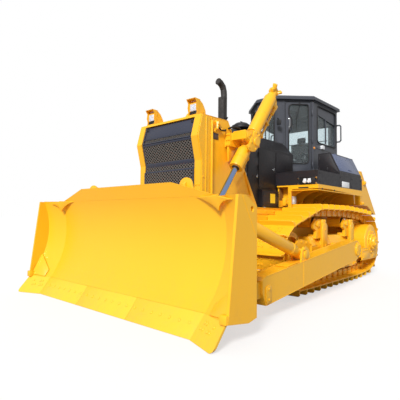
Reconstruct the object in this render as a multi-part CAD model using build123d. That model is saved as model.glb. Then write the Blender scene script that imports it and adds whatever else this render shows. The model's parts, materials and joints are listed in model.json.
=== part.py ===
from build123d import *
import os
from math import asin, atan2, cos, degrees, hypot, pi, radians, sin

# Track-type bulldozer with a half-U blade, in millimetres.  While it is modelled, x runs forward
# from the sprocket axis, y to the left and z up from the ground.  write() moves every piece back
# by MID_X, so that the finished part stands centred on its origin.

# ---- driving dimensions -------------------------------------------------------------------
FRONT_X, REAR_X = 5243.3, -954           # end bit's corner, drawbar's end
MID_X = (FRONT_X + REAR_X) / 2
GAUGE = 2000                             # between the middles of the two tracks
MID_Y = GAUGE / 2                        # middle of the left track
SHOE_WIDTH, SHOES = 560, 38              # shoes on each track
TEETH = 27                               # the bushings sit in every second gap

SPROCKET_Z, SPROCKET_R = 640, 464        # pitch radius at the track pins
PITCH = SPROCKET_R * 4 * pi / TEETH      # between two pins, along the line
IDLER_X, IDLER_Z, IDLER_R = 2742, 548, 400
CARRIER_X, CARRIER_R = (920, 2040), 88
PIN_TOP, PIN_LOW = 1160, 142             # track pins on the carrier rollers and on the ground
LINK_HALF, LINK_Y = 52, (70, 118)        # half a link's height, and a row's edges from the middle
BUSHING_R = 33
PLATE_T, GROUSER = 18, 72                # shoe plate and its grouser
ROLLER_R = 98
ROLLER_X = [490 + 368 * i for i in range(6)]
BEAM_Z = (430, 800)                      # track frame's beam

HULL_Y, HULL_LOW, DECK_Z = 520, 405, 1590
NOSE_Y, NOSE_T = 590, 30                 # outer face of the radiator guard, and its plates
HOOD_Y, HOOD_SIDE_Z, HOOD_TOP_Z = 559, 2170, 2380
HOOD_X = (1640, 3498)
FENDER_X, FENDER_Y = (360, 2200), 1280

CAB_FLOOR, CAB_TOP, ROOF_Z = 1800, 3225, 3300
CAB_PLAN = [(1570, 200), (1100, 680), (90, 700)]     # (x, y) of the left wall's corners
CAB_WALL = 50
DOOR = ((150, 640), (30, 1395))          # along the diagonal wall, and up from the floor
DOOR_WINDOW = ((220, 588), (262, 1345))
DOOR_NOTCH = ((215, 268), (870, 1160))               # where the window's front edge gives way to the handle
SIDE_WINDOW = ((150, 940), (2470, 3165))             # x and z
STEP = 6                                 # clearance round a door

BLADE_Z, FOLD_Y, WING_Y, WING_ANGLE = 1290, 1475, 1806, 21.7
CREST = ((850, 1450), 155)              # raised middle of the top edge: half widths and height
FOLD_X = 4850                            # where the fold's mitre plane crosses FOLD_Y
EDGE_X, EDGE_TOP, EDGE_T = 5106, (4940, 211), 32     # cutting edge's tip, its top and thickness
MOULD_TOP_X, MOULD_R, MOULD_T = 4770, 1030, 30       # top of the mouldboard, its radius and thickness
TIP_Z = 4                                # cutting edge above the ground as it parks
BACK_X = 4560                            # rear faces of the beams behind the blade
TRUNNION = (1500, 600)                   # push arm's pivot (x, z)
ARM_Y = (1400, 1600)
BRACE_END, BRACE_TOP = (3215, 1500, 640), (4500, 1440, 1090)

LIFT_Y = 800                             # lift cylinder's plane
LIFT_TOP, LIFT_PIN = (3330, 2090), (4400, 680)       # barrel's trunnion and rod's eye (x, z)
BARREL_R, ROD_R, LIFT_PIN_R = 66, 37, 35
COLLAR = 76                              # half the width of the barrel's trunnion collar
BARREL_UP, BARREL_DOWN = 915, 455        # from the trunnion to the cap and to the gland


# ---- helpers ------------------------------------------------------------------------------
def write(name, *shapes):
    """Writes the shapes as one node, shifted to the finished part's frame."""
    solids = [s for shape in shapes for s in shape.solids()]
    whole = solids[0] if len(solids) == 1 else Compound(children=solids)
    export_step(Pos(-MID_X, 0, 0) * whole, f"parts/{name}.step")


def block(x, y, z):
    """A box from (low, high) pairs."""
    return Pos(*[(a + b) / 2 for a, b in (x, y, z)]) * Box(x[1] - x[0], y[1] - y[0], z[1] - z[0])


def plate(outline, y):
    """An (x, z) outline extruded from y[0] to y[1]."""
    face = make_face(Plane.XZ * Polyline(*outline, close=True))
    return extrude(Pos(0, y[0], 0) * face, amount=y[1] - y[0], dir=(0, 1, 0))


def axle(x, z, radius, y):
    """A cylinder across the machine from y[0] to y[1]."""
    return Pos(x, (y[0] + y[1]) / 2, z) * Rot(90, 0, 0) * Cylinder(radius, abs(y[1] - y[0]))


def drum(x, z, radius, y, sides=20):
    """A many-sided drum across the machine."""
    face = Plane.XZ * RegularPolygon(radius, sides)
    return Pos(x, y[0], z) * extrude(face, amount=y[1] - y[0], dir=(0, 1, 0))


def across(outline, x):
    """A (y, z) outline extruded from x[0] to x[1]."""
    face = make_face(Plane.YZ * Polyline(*outline, close=True))
    return extrude(Pos(x[0], 0, 0) * face, amount=x[1] - x[0], dir=(1, 0, 0))


def rod(start, end, radius, sides=16):
    """A many-sided bar between two points."""
    a, b = Vector(*start), Vector(*end)
    return Plane(origin=a, z_dir=b - a) * extrude(RegularPolygon(radius, sides), amount=(b - a).length)


def right(shape):
    """The same piece on the right-hand side."""
    return mirror(shape, about=Plane.XZ)


def both(shape):
    return shape, right(shape)


# ---- tracks and rollers --------------------------------------------------------------------
def track_corners():
    """Wheels that the pin line is wrapped round: (x, z, radius), from the rear, over the top."""
    top = PIN_TOP - CARRIER_R - LINK_HALF
    carriers = [(x, top, CARRIER_R + LINK_HALF) for x in CARRIER_X]
    return [(0, SPROCKET_Z, SPROCKET_R), *carriers, (IDLER_X, IDLER_Z, IDLER_R),
            (ROLLER_X[-1], PIN_LOW + 400, 400), (ROLLER_X[0], PIN_LOW + 400, 400)]


def pin_line():
    """Tangents and arcs round the wheels, as (kind, data, length) in running order."""
    wheels = track_corners()
    spans = []
    for (x0, z0, r0), (x1, z1, r1) in zip(wheels, wheels[1:] + wheels[:1]):
        gap, heading = hypot(x1 - x0, z1 - z0), atan2(z1 - z0, x1 - x0)
        normal = heading + pi / 2 + asin((r1 - r0) / gap)
        spans.append(((x0 + r0 * cos(normal), z0 + r0 * sin(normal)),
                      (x1 + r1 * cos(normal), z1 + r1 * sin(normal)), normal))
    line = []
    for i, (wheel, span) in enumerate(zip(wheels, spans)):
        turn = (spans[i - 1][2] - span[2]) % (2 * pi)
        line.append(("arc", (wheel, spans[i - 1][2], turn), wheel[2] * turn))
        line.append(("run", span, hypot(span[1][0] - span[0][0], span[1][1] - span[0][1])))
    return line


def point_on(line, s):
    """Point of the pin line at distance s, and the outward direction there in radians."""
    s %= sum(length for _, _, length in line)
    for kind, data, length in line:
        if s <= length:
            break
        s -= length
    if kind == "arc":
        (x, z, r), start, _ = data
        angle = start - s / r
        return x + r * cos(angle), z + r * sin(angle), angle
    (x0, z0), (x1, z1), normal = data
    t = s / length
    return x0 + (x1 - x0) * t, z0 + (z1 - z0) * t, normal


def off_line(line, s, out):
    x, z, angle = point_on(line, s)
    return x + out * cos(angle), z + out * sin(angle)


def track():
    """One fixed loop: shoes with their grousers in the outline, on two rows of links."""
    line = pin_line()
    pitch = sum(length for _, _, length in line) / SHOES
    low, high = LINK_HALF, LINK_HALF + PLATE_T
    outer, inner, rail, bushings = [], [], [], []
    for i in range(SHOES):
        s = i * pitch
        for along, out in ((-12, high), (-7, high + GROUSER), (9, high + GROUSER), (15, high)):
            outer.append(off_line(line, s + along, out))
        inner.append(off_line(line, s, low - 1))
        rail.append(off_line(line, s, -LINK_HALF))
        x, z = off_line(line, s, 0)
        bushings.append(drum(x, z, BUSHING_R, (MID_Y - LINK_Y[0] - 1, MID_Y + LINK_Y[0] + 1), 6))
    y = (MID_Y - SHOE_WIDTH / 2, MID_Y + SHOE_WIDTH / 2)
    loop = plate(outer, y) - plate(inner, y)
    for side in (-1, 1):
        row = sorted((MID_Y + side * LINK_Y[0], MID_Y + side * LINK_Y[1]))
        loop += plate(inner, row) - plate(rail, row)
    return loop + bushings


def sprocket():
    """Toothed ring between the rows of links, its gaps on the bushings."""
    y, root, tip = (MID_Y - 30, MID_Y + 30), SPROCKET_R - BUSHING_R - 3, SPROCKET_R + 20
    start, step = pin_line()[0][1][1], 2 * pi / TEETH
    gap, flank = 22 / root, (BUSHING_R + 14) / SPROCKET_R
    outline = []
    for i in range(TEETH):
        middle = start - i * step
        for turn, r in ((flank, tip), (gap, root), (-gap, root), (-flank, tip)):
            outline.append((r * cos(middle + turn), SPROCKET_Z + r * sin(middle + turn)))
    return plate(outline, y) - drum(0, SPROCKET_Z, 200, (y[0] - 9, y[1] + 9), 12)


def final_drive():
    """Hub inside the sprocket, its round case and the outer bearing cap."""
    steps = [(300, HULL_Y, MID_Y - 30, 20), (198, MID_Y - 30, MID_Y + 30, 12), (330, MID_Y + 30, MID_Y + 296, 32),
             (160, MID_Y + 296, MID_Y + 335, 16)]
    return sum((drum(0, SPROCKET_Z, r, (low, high), sides) for r, low, high, sides in steps), Part())


def idler():
    """Front wheel: its rim runs under both rows of links, its middle flange between them."""
    rim = (IDLER_R - LINK_HALF) * cos(PITCH / 2 / IDLER_R) - 1
    wheel = drum(IDLER_X, IDLER_Z, rim, (MID_Y - 124, MID_Y + 124), 24)
    wheel += drum(IDLER_X, IDLER_Z, rim + 18, (MID_Y - 64, MID_Y + 64), 24)
    for side in (-1, 1):
        dish = sorted((MID_Y + side * 60, MID_Y + side * 130))
        wheel -= drum(IDLER_X, IDLER_Z, rim - 60, dish, 16)
    return wheel + drum(IDLER_X, IDLER_Z, 100, (MID_Y - 149, MID_Y + 149), 12)


def track_rollers():
    z = PIN_LOW + LINK_HALF + ROLLER_R + 4
    return [drum(x, z, ROLLER_R, (MID_Y - 125, MID_Y + 125), 8) +
            drum(x, z, ROLLER_R + 14, (MID_Y - 64, MID_Y + 64), 8) for x in ROLLER_X]


def carrier_rollers():
    """Two rollers under the top run, each with its shaft in a post of the track frame."""
    z = PIN_TOP - LINK_HALF - CARRIER_R - 5
    return [drum(x, z, CARRIER_R, (MID_Y - 125, MID_Y + 120), 12) +
            drum(x, z, 62, (MID_Y + 120, MID_Y + 150), 8) for x in CARRIER_X]


def track_frame():
    """Box beam over the rollers with its guards, carrier posts, idler fork and sprocket guard."""
    low, high = BEAM_Z
    section = [(-150, low), (150, low), (150, 560), (196, 590), (196, 650), (118, high),
               (-118, high), (-150, 700)]
    frame = across([(MID_Y + y, z) for y, z in section], (500, 2250))
    for side in (-1, 1):
        guard = sorted((MID_Y + side * 150, MID_Y + side * 182))
        frame += plate([(430, 236), (2470, 236), (2540, 300), (2540, low + 2), (430, low + 2)], guard)
        frame += plate([(2200, low + 20), (2790, 470), (2830, 520), (2830, 590), (2790, 640),
                        (2650, 760), (2540, 780), (2200, 700)], guard)
    for x in CARRIER_X:
        head = [(x - 260, high - 30), (x - 250, 960), (x - 180, 1040), (x - 70, 1066), (x + 60, 1050),
                (x + 140, 985), (x + 130, 925), (x + 50, 890), (x + 60, high - 30)]
        frame += plate(head, (MID_Y + 150, MID_Y + 196))
        frame += block((x - 250, x + 50), (MID_Y + 60, MID_Y + 160), (high - 30, high + 30))
        frame += plate([(x - 220, 560), (x - 200, 990), (x - 90, 990), (x - 110, 560)],
                       (MID_Y + 180, MID_Y + 222))
    frame += block((430, 560), (MID_Y + 150, MID_Y + 310), (390, 530))
    cover = plate([(-290, 330), (500, 330), (500, 545), (-350, 545), (-370, 470)], (MID_Y + 302, MID_Y + 322))
    frame += cover - drum(0, SPROCKET_Z, 170, (MID_Y + 290, MID_Y + 330), 16)
    return frame + drum(*TRUNNION, 88, (MID_Y + 100, ARM_Y[0] - 6), 16)


# ---- hull, engine, nose and hood ------------------------------------------------------------
def main_frame():
    """Hull between the tracks, with the stepped side blocks in front of them."""
    side = [(-330, 620), (-330, 1180), (85, 1329), (1600, 1242), (3330, 1242), (3330, 560),
            (3100, HULL_LOW + 26), (-100, HULL_LOW + 26)]
    hull = plate(side, (-HULL_Y, HULL_Y))
    for x, y, z in (((2210, 3060), 700, (900, 1222)), ((2210, 3040), 714, (905, 1140)),
                    ((2210, 2900), 670, (585, 900))):
        hull += block(x, (-y, y), z)
    return hull - block((2080, 3300), (-400, 400), (1000, 1400))


def belly_guard():
    return plate([(-100, HULL_LOW), (3106, HULL_LOW), (3336, 540), (3336, 559), (3100, HULL_LOW + 25),
                  (-100, HULL_LOW + 25)], (-HULL_Y, HULL_Y))


def radiator_guard():
    """Pointed nose: two side plates with sloping rear edges, a top plate and front posts."""
    inner = NOSE_Y - NOSE_T
    side = [(3500, 2400), (4045, 2390), (4125, 2100), (4050, 1800), (4050, 600), (3335, 600),
            (3335, 1242), (2780, 1242)]
    recess = [(3110, 1740), (3310, 1546), (3250, 1465), (3310, 1413), (2947, 1403)]
    walls = plate(side, (inner, NOSE_Y)) - plate(recess, (NOSE_Y - 20, NOSE_Y + 10))
    walls += plate([(3850, 620), (3850, 2380), (4036, 2378), (4112, 2100), (4038, 1800), (4038, 620)],
                   (NOSE_Y - 2, NOSE_Y + 12)) - plate([(3868, 600), (3868, 2390), (3885, 2390), (3885, 600)],
                                                      (NOSE_Y, NOSE_Y + 20))
    front = [(4045, 2390), (4125, 2100), (4050, 1800), (4050, 600), (3960, 600), (3960, 1800),
             (4035, 2100), (3960, 2390)]
    guard = walls + plate(front, (485, inner))
    guard += right(guard)
    guard += plate([(3500, 2370), (3500, 2400), (4045, 2390), (4053, 2360)], (-NOSE_Y, NOSE_Y))
    return guard + plate([(4050, 600), (3960, 600), (3960, 1700), (4050, 1700)], (-490, 490))


def front_grille():
    return plate([(4000, 2358), (4030, 2350), (4100, 2100), (4028, 1802), (4028, 1702), (3990, 1702),
                  (3990, 1802), (4062, 2100)], (-484, 484))


def headlights():
    lamps = []
    for y in (-410, 410):
        case = [(3840, 2405), (3990, 2393), (4010, 2560), (3960, 2600), (3900, 2560), (3850, 2480)]
        lamps.append(plate(case, (y - 75, y + 75)))
    return lamps


def hood_outline(inset):
    top, side = HOOD_TOP_Z - inset, HOOD_Y - inset
    return [(-side, 1244), (-side, HOOD_SIDE_Z), (-side + 180, top), (side - 180, top),
            (side, HOOD_SIDE_Z), (side, 1244)]


def hood():
    shell = across(hood_outline(0), HOOD_X) - across(hood_outline(14), (HOOD_X[0] - 40, HOOD_X[1] + 40))
    return shell - block((HOOD_X[0] - 60, HOOD_X[1] + 60), (-700, 700), (1200, HOOD_SIDE_Z - 20))


def side_panels():
    """Engine's side doors with the box low down on each side."""
    outline = [(2205, 1244), (3300, 1244), (3300, 2149), (1640, 2149), (1640, 1802), (2205, 1802)]
    panel = plate(outline, (HOOD_Y - 14, HOOD_Y))
    return both(panel + block((2212, 2690), (HOOD_Y - 4, HOOD_Y + 60), (1246, 1500)))


def engine_block():
    return block((2205, 3250), (-330, 330), (1001, 1950))


def exhaust():
    """Upright pipe with its bent outlet, and the flat shield in front of it."""
    x, y, top = 2930, 60, 3060
    path = Polyline((x, y, HOOD_TOP_Z + 1), (x, y, top), (x + 26, y, top + 68), (x + 92, y, top + 118),
                    (x + 150, y, top + 130))
    pipe = sweep(Pos(x, y, HOOD_TOP_Z + 1) * RegularPolygon(46, 16), path=path, transition=Transition.RIGHT)
    shield = block((x + 44, x + 74), (y - 50, y + 50), (HOOD_TOP_Z + 40, 2960))
    return pipe + shield


def pre_cleaner():
    """Air intake's neck and mushroom cap."""
    place, height = Pos(2430, 40, HOOD_TOP_Z + 1), 118
    cap = extrude(RegularPolygon(160, 20), amount=height)
    top = cap.faces().sort_by(Axis.Z)[-1]
    cap = chamfer(top.edges(), 64, 50, reference=top)
    low = cap.faces().sort_by(Axis.Z)[0]
    cap = chamfer(low.edges(), 86, 34, reference=low)
    return place * (extrude(RegularPolygon(70, 20), amount=151) + Pos(0, 0, 150) * cap)


# ---- cab -------------------------------------------------------------------------------------
def cab_outline(grow):
    """The six-sided plan, grown outward."""
    whole = CAB_PLAN + [(x, -y) for x, y in reversed(CAB_PLAN)]
    face = make_face(Polyline(*whole, close=True))
    return make_face(offset(face, grow, kind=Kind.INTERSECTION).edges()) if grow else face


def door_plane():
    """Plane on the left diagonal wall's outer face: x back along it, y up, z outward."""
    (x0, y0), (x1, y1) = CAB_PLAN[:2]
    along = Vector(x1 - x0, y1 - y0, 0).normalized()
    return Plane(origin=(x0, y0, CAB_FLOOR), x_dir=along, z_dir=(-along.Y * -1, -along.X, 0))


def in_door_wall(span, rise, out, inward, corner=0):
    """A block in the diagonal wall, from out in front of its face to inward behind it."""
    size = (span[1] - span[0], rise[1] - rise[0])
    shape = RectangleRounded(*size, corner) if corner else Rectangle(*size)
    face = Pos((span[0] + span[1]) / 2, (rise[0] + rise[1]) / 2, out) * shape
    return extrude(door_plane() * face, amount=-(out + inward))


def window_cut(span, rise, y, corner=70):
    """A round-cornered opening through a side wall."""
    shape = Pos(sum(span) / 2, sum(rise) / 2) * RectangleRounded(span[1] - span[0], rise[1] - rise[0], corner)
    return extrude(Pos(0, y[0], 0) * (Plane.XZ * shape), amount=y[1] - y[0], dir=(0, 1, 0))


def end_window(half, rise, x, corner=70):
    """A round-cornered opening through the front or rear wall."""
    shape = Pos(0, sum(rise) / 2) * RectangleRounded(2 * half, rise[1] - rise[0], corner)
    return extrude(Pos(x[0], 0, 0) * (Plane.YZ * shape), amount=x[1] - x[0], dir=(1, 0, 0))


def cab_frame():
    walls = Pos(0, 0, CAB_FLOOR + 1) * extrude(cab_outline(0), amount=CAB_TOP - CAB_FLOOR - 1)
    walls -= Pos(0, 0, CAB_FLOOR) * extrude(cab_outline(-CAB_WALL), amount=CAB_TOP)
    opening = in_door_wall(*DOOR, 20, CAB_WALL + 60)
    side = window_cut(*SIDE_WINDOW, (600, 760))
    walls -= [opening, right(opening), side, right(side)]
    walls -= end_window(150, (2050, 3150), (1480, 1600))
    return walls - end_window(540, (2350, 3130), (60, 180))


def cab_roof():
    slab = Pos(0, 0, CAB_TOP) * extrude(cab_outline(45), amount=ROOF_Z - CAB_TOP)
    return chamfer(slab.faces().sort_by(Axis.Z)[-1].edges(), 25)


def cab_glass():
    side = window_cut(*SIDE_WINDOW, (656, 662))
    return [side, right(side), end_window(150, (2050, 3150), (1545, 1551)),
            end_window(540, (2350, 3130), (112, 118))]


def door_parts():
    (low, high), (bottom, top) = DOOR
    panel = in_door_wall((low + STEP, high - STEP), (bottom + STEP, top - STEP), 0, CAB_WALL - 8)
    panel -= in_door_wall(*DOOR_WINDOW, 20, CAB_WALL + 60, 60)
    panel += in_door_wall(*DOOR_NOTCH, 0, CAB_WALL - 8)
    return panel, in_door_wall(*DOOR_WINDOW, -20, 26, 60) - in_door_wall(*DOOR_NOTCH, 0, 60)


def operator_seat():
    cushion = block((400, 950), (-240, 240), (2100, 2220))
    back = plate([(330, 2200), (450, 2200), (400, 2900), (290, 2900)], (-230, 230))
    return cushion + back + block((480, 900), (-200, 200), (1801, 2100))


def cab_consoles():
    side = block((500, 1050), (300, 440), (1801, 2350))
    dash = block((1250, 1420), (-220, 220), (1801, 2480))
    return side, right(side), dash


def cab_base():
    y = FENDER_Y - 2
    base = block(FENDER_X, (-y, y), (DECK_Z + 1, CAB_FLOOR))
    return base


# ---- fenders, side boxes and rear ------------------------------------------------------------
def fender():
    """Yellow deck frame over the track: band round the edge, front and rear posts, inner wall."""
    (x0, x1), z = FENDER_X, DECK_Z
    deck = block((x0, x1), (HULL_Y + 60, FENDER_Y), (z - 22, z))
    band = plate([(x0, z - 96), (x0, z - 20), (x1, z - 20), (x1, z - 62), (x1 - 300, z - 54)],
                 (FENDER_Y - 24, FENDER_Y))
    front = across([(780, 1244), (830, 1244), (830, z - 84), (860, z - 62), (FENDER_Y, z - 62),
                    (FENDER_Y, z - 20), (780, z - 20)], (x1 - 30, x1))
    wall = plate([(x0 + 60, 1345), (x1 - 30, 1245), (x1 - 30, z - 21), (x0 + 60, z - 21)], (HULL_Y + 60, HULL_Y + 80))
    rear = plate([(x0, 1345), (x0 + 40, 1345), (x0 + 90, z - 21), (x0, z - 21)], (HULL_Y + 62, 1150))
    return deck + band + front + wall + rear


def side_box():
    """Box beside the cab with a sloping upper outer face."""
    outline = [(900, CAB_FLOOR + 1), (FENDER_Y - 4, CAB_FLOOR + 1), (FENDER_Y - 4, 1850),
               (1120, 2185), (900, 2185)]
    return across(outline, (FENDER_X[0] + 40, 1380))


def fuel_tank():
    """Rear tank with sloping back, and the steps of its lower edge."""
    outline = [(-790, 1160), (-700, 1160), (-300, 1330), (84, 1330), (84, 1990), (20, 1990)]
    return plate(outline, (-1150, 1150))


def drawbar():
    """Towing jaw under the tank with its pin hole."""
    bar = block((REAR_X, -331), (-130, 130), (560, 700))
    plate_y = block((-372, -331), (-330, 330), (500, 1000))
    return bar + plate_y - Pos(REAR_X + 110, 0, 600) * Cylinder(30, 400)


def grab_handles():
    """A hand rail on each side of the cab, behind the window."""
    x, y, z = 130, (699.6, 800), (2600, 2930)
    route = Polyline((x, y[0], z[0]), (x, y[1] - 25, z[0]), (x, y[1], z[0] + 25), (x, y[1], z[1] - 25),
                     (x, y[1] - 25, z[1]), (x, y[0], z[1]))
    bar = sweep(Plane(origin=route @ 0, z_dir=route % 0) * RegularPolygon(14, 8), path=route,
                transition=Transition.RIGHT)
    return both(bar)


# ---- blade -----------------------------------------------------------------------------------
def mould_centre():
    """Centre of the mouldboard's arc, in front of it, from its lower and upper edges."""
    (x0, z0), (x1, z1) = EDGE_TOP, (MOULD_TOP_X, BLADE_Z)
    half, slope = hypot(x1 - x0, z1 - z0) / 2, atan2(z1 - z0, x1 - x0)
    reach = (MOULD_R ** 2 - half ** 2) ** 0.5
    return (x0 + x1) / 2 + reach * sin(slope), (z0 + z1) / 2 - reach * cos(slope)


def face_x(z, back=0):
    """x of the mouldboard's face at height z, or of a surface that lies behind it."""
    cx, cz = mould_centre()
    return cx - ((MOULD_R + back) ** 2 - (z - cz) ** 2) ** 0.5


def shell_section(low, high, front, back):
    """Section of a curved plate between two heights, as a face in the XZ plane."""
    corners = [(face_x(z, depth), z) for z, depth in ((low, front), (high, front), (high, back), (low, back))]
    a, b, c, d = corners
    wire = [RadiusArc(a, b, MOULD_R + front), Line(b, c), RadiusArc(c, d, -MOULD_R - back), Line(d, a)]
    return make_face([Plane.XZ * edge for edge in wire])


FOLD = Plane(origin=(FOLD_X, FOLD_Y, 0), z_dir=(sin(radians(WING_ANGLE / 2)), cos(radians(WING_ANGLE / 2)), 0))
WING_END = Plane(origin=(0, WING_Y, 0), z_dir=(0, 1, 0))


def folded(section):
    """A section across the middle, and its left wing mirrored in the fold."""
    long = extrude(Pos(0, -2000, 0) * section, amount=4000, dir=(0, 1, 0))
    middle = split(long, bisect_by=FOLD, keep=Keep.BOTTOM)
    wing = split(mirror(middle, about=FOLD), bisect_by=WING_END, keep=Keep.BOTTOM)
    middle = middle & right(middle)
    return middle, wing


def crest_section():
    """Straight strip that raises the middle of the top edge."""
    x, z = face_x(BLADE_Z), BLADE_Z
    lean, rise = 0.42, CREST[1]
    return [(x, z - 2), (x + lean * rise, z + rise), (x + lean * rise - MOULD_T, z + rise), (x - MOULD_T, z - 2)]


def blade_mouldboard():
    """Rolled plate with folded wings, side plates, and the beams, ribs and lugs behind it."""
    middle, wing = folded(shell_section(EDGE_TOP[1], BLADE_Z, 0, MOULD_T))
    shell = middle + both(wing)
    (narrow, wide), rise = CREST
    crest = plate(crest_section(), (-wide, wide))
    corner = across([(narrow, BLADE_Z + rise + 5), (wide + 5, BLADE_Z + rise + 5), (wide + 5, BLADE_Z)], (4600, 4900))
    shell += crest - corner - right(corner)
    end = [(4950, 1285), (4830, 1285), (4665, 1180), (4665, 190), (4790, 165), (5090, 205), (5071, 281)]
    hole = drum(4742, 1160, 27, (WING_Y - 20, WING_Y + 60), 12)
    shell += both(plate(end, (WING_Y, WING_Y + 30)) - hole)
    for low, high in ((250, 430), (1010, 1190)):
        shell += plate([(BACK_X, low), (face_x(low, 5), low), (face_x(high, 5), high), (BACK_X, high)], (-1440, 1440))
    for y in (-1300, -400, 0, 400, 1300):
        rib = [(BACK_X + 20, 425), (face_x(425, 20), 425), (face_x(720, 20), 720), (face_x(1015, 20), 1015),
               (BACK_X + 20, 1015)]
        shell += plate(rib, (y - 12, y + 12))
    for y in (-900, 900):
        lug = [(face_x(1200, 10), 1200), (face_x(1280, 10), 1280), (4690, 1300), (4660, 1440), (4620, 1485),
               (4570, 1485), (4530, 1440), (4540, 1300), (4590, 1150)]
        shell += plate(lug, (y - 20, y + 20)) - drum(4600, 1410, 27, (y - 30, y + 30), 12)
    x, y, z = BRACE_TOP
    for low in (z - 84, z + 61):
        shell += both(block((x - 15, face_x(low, 15)), (y - 60, y + 60), (low, low + 23)))
    for y in (-LIFT_Y, LIFT_Y):
        for side in (-1, 1):
            ear = sorted((y + side * 75, y + side * 105))
            shell += plate([(4350, 590), (4640, 400), (face_x(700, 10), 700), (4640, 1050), (4350, 770),
                            (4320, 730), (4320, 630)], ear)
    return shell


def edge_section(thick=EDGE_T):
    x, z = EDGE_TOP
    return make_face(Plane.XZ * Polyline((x, z), (EDGE_X, TIP_Z), (EDGE_X - thick, TIP_Z), (x - thick, z - 1),
                                         close=True))


def cutting_edge():
    return folded(edge_section())[0]


def end_bits():
    """Wear plates under the wings, their outer lower corners rounded."""
    left = folded(edge_section())[1]
    corner = left.edges().filter_by(lambda e: e.center().Y > WING_Y - 1 and e.center().Z < TIP_Z + 1)
    return both(fillet(corner, 45))


def push_arms():
    """Tapered box arms outside the tracks, with a clevis plate at the blade."""
    outline = [(1530, 739), (4170, 466), (4204, 430), (4204, 300), (4140, 168), (1530, 447), (1420, 500),
               (1400, 600), (1430, 700)]
    arm = plate(outline, ARM_Y)
    for y in ((ARM_Y[0] + 30, ARM_Y[0] + 60), (ARM_Y[1] - 60, ARM_Y[1] - 30)):
        arm += plate([(4190, 420), (4400, 400), (BACK_X + 80, 440), (BACK_X + 80, 200), (4400, 240),
                      (4190, 250)], y)
    x, y, z = BRACE_END
    cheek = [(x - 125, 540), (x - 90, z + 50), (x - 35, z + 92), (x + 40, z + 92), (x + 85, z + 50), (x + 120, 520)]
    for side in (-1, 1):
        arm += plate(cheek, sorted((y + side * 62, y + side * 85)))
    return both(arm - blade_mouldboard())


def brace_eye():
    """Upright eye between the blade's ears."""
    x, y, z = BRACE_TOP
    return Pos(x, y, z - 61) * extrude(RegularPolygon(54, 12), amount=122)


def brace():
    """Round strut from the left arm up to the back of the blade."""
    return rod(BRACE_END, BRACE_TOP, 50) + brace_eye() + drum(BRACE_END[0], BRACE_END[2], 60, (1438, 1562), 12)


def tilt_cylinder():
    """Hydraulic cylinder that takes the strut's place on the right."""
    a, b = Vector(*BRACE_END), Vector(*BRACE_TOP)
    gland = a + (b - a) * 0.55
    strut = rod(tuple(a + (b - a) * 0.1), tuple(gland), 80) + rod(tuple(a), tuple(b), 42)
    return right(strut + brace_eye() + drum(BRACE_END[0], BRACE_END[2], 60, (1438, 1562), 12))


# ---- lift cylinders --------------------------------------------------------------------------
def lift_frame():
    """Plane at the barrel's trunnion with z pointing down along the rod."""
    (x0, z0), (x1, z1) = LIFT_TOP, LIFT_PIN
    return Plane(origin=(x0, LIFT_Y, z0), x_dir=(0, 1, 0), z_dir=(x1 - x0, 0, z1 - z0))


def lift_barrel():
    """Barrel with its gland and a trunnion collar whose pins turn in the yoke, bored for the rod."""
    frame = lift_frame()

    def tube(low, high, radius):
        return frame * Pos(0, 0, (low + high) / 2) * Cylinder(radius, high - low)
    barrel = tube(-BARREL_UP, BARREL_DOWN, BARREL_R)
    barrel += frame * Pos(0, 0, BARREL_DOWN - 170) * extrude(RegularPolygon(COLLAR, 20), amount=170)
    barrel += frame * extrude(RegularPolygon(COLLAR, 8, major_radius=False, rotation=22.5), amount=70, both=True)
    for side in (-1, 1):
        barrel += axle(*LIFT_TOP, LIFT_PIN_R, sorted((LIFT_Y + side * COLLAR, LIFT_Y + side * 118)))
    return barrel - tube(-BARREL_UP + 60, BARREL_DOWN + 1, ROD_R + 0.5)


def lift_rod():
    """Rod whose eye hangs between the lugs of the blade."""
    frame, tail = lift_frame(), -30
    reach = hypot(LIFT_PIN[0] - LIFT_TOP[0], LIFT_PIN[1] - LIFT_TOP[1])
    shaft = frame * Pos(0, 0, (tail + reach) / 2) * Cylinder(ROD_R, reach - tail)
    return shaft + drum(*LIFT_PIN, 58, (LIFT_Y - 55, LIFT_Y + 55), 16)


def lift_yokes():
    """Fork round the front of each barrel, on a bracket of the nose."""
    (x, z), inner, outer = LIFT_TOP, (LIFT_Y - 118, LIFT_Y - 82), (LIFT_Y + 82, LIFT_Y + 118)
    cheek = [(x - 75, z - 45), (x - 75, z + 45), (x - 30, z + 85), (x + 60, z + 150), (x + 210, z + 120),
             (x + 210, z + 20), (x + 60, z - 70), (x - 30, z - 80)]
    yoke = plate(cheek, inner) + plate(cheek, outer)
    yoke += plate([(x + 140, z + 34), (x + 120, z + 128), (x + 210, z + 120), (x + 210, z + 20)],
                  (inner[0], outer[1]))
    yoke += block((x + 60, x + 240), (NOSE_Y + 0.5, inner[0]), (z - 60, z + 120))
    yoke -= axle(x, z, LIFT_PIN_R + 0.05, (LIFT_Y - 200, LIFT_Y + 200))
    return both(yoke)


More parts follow.
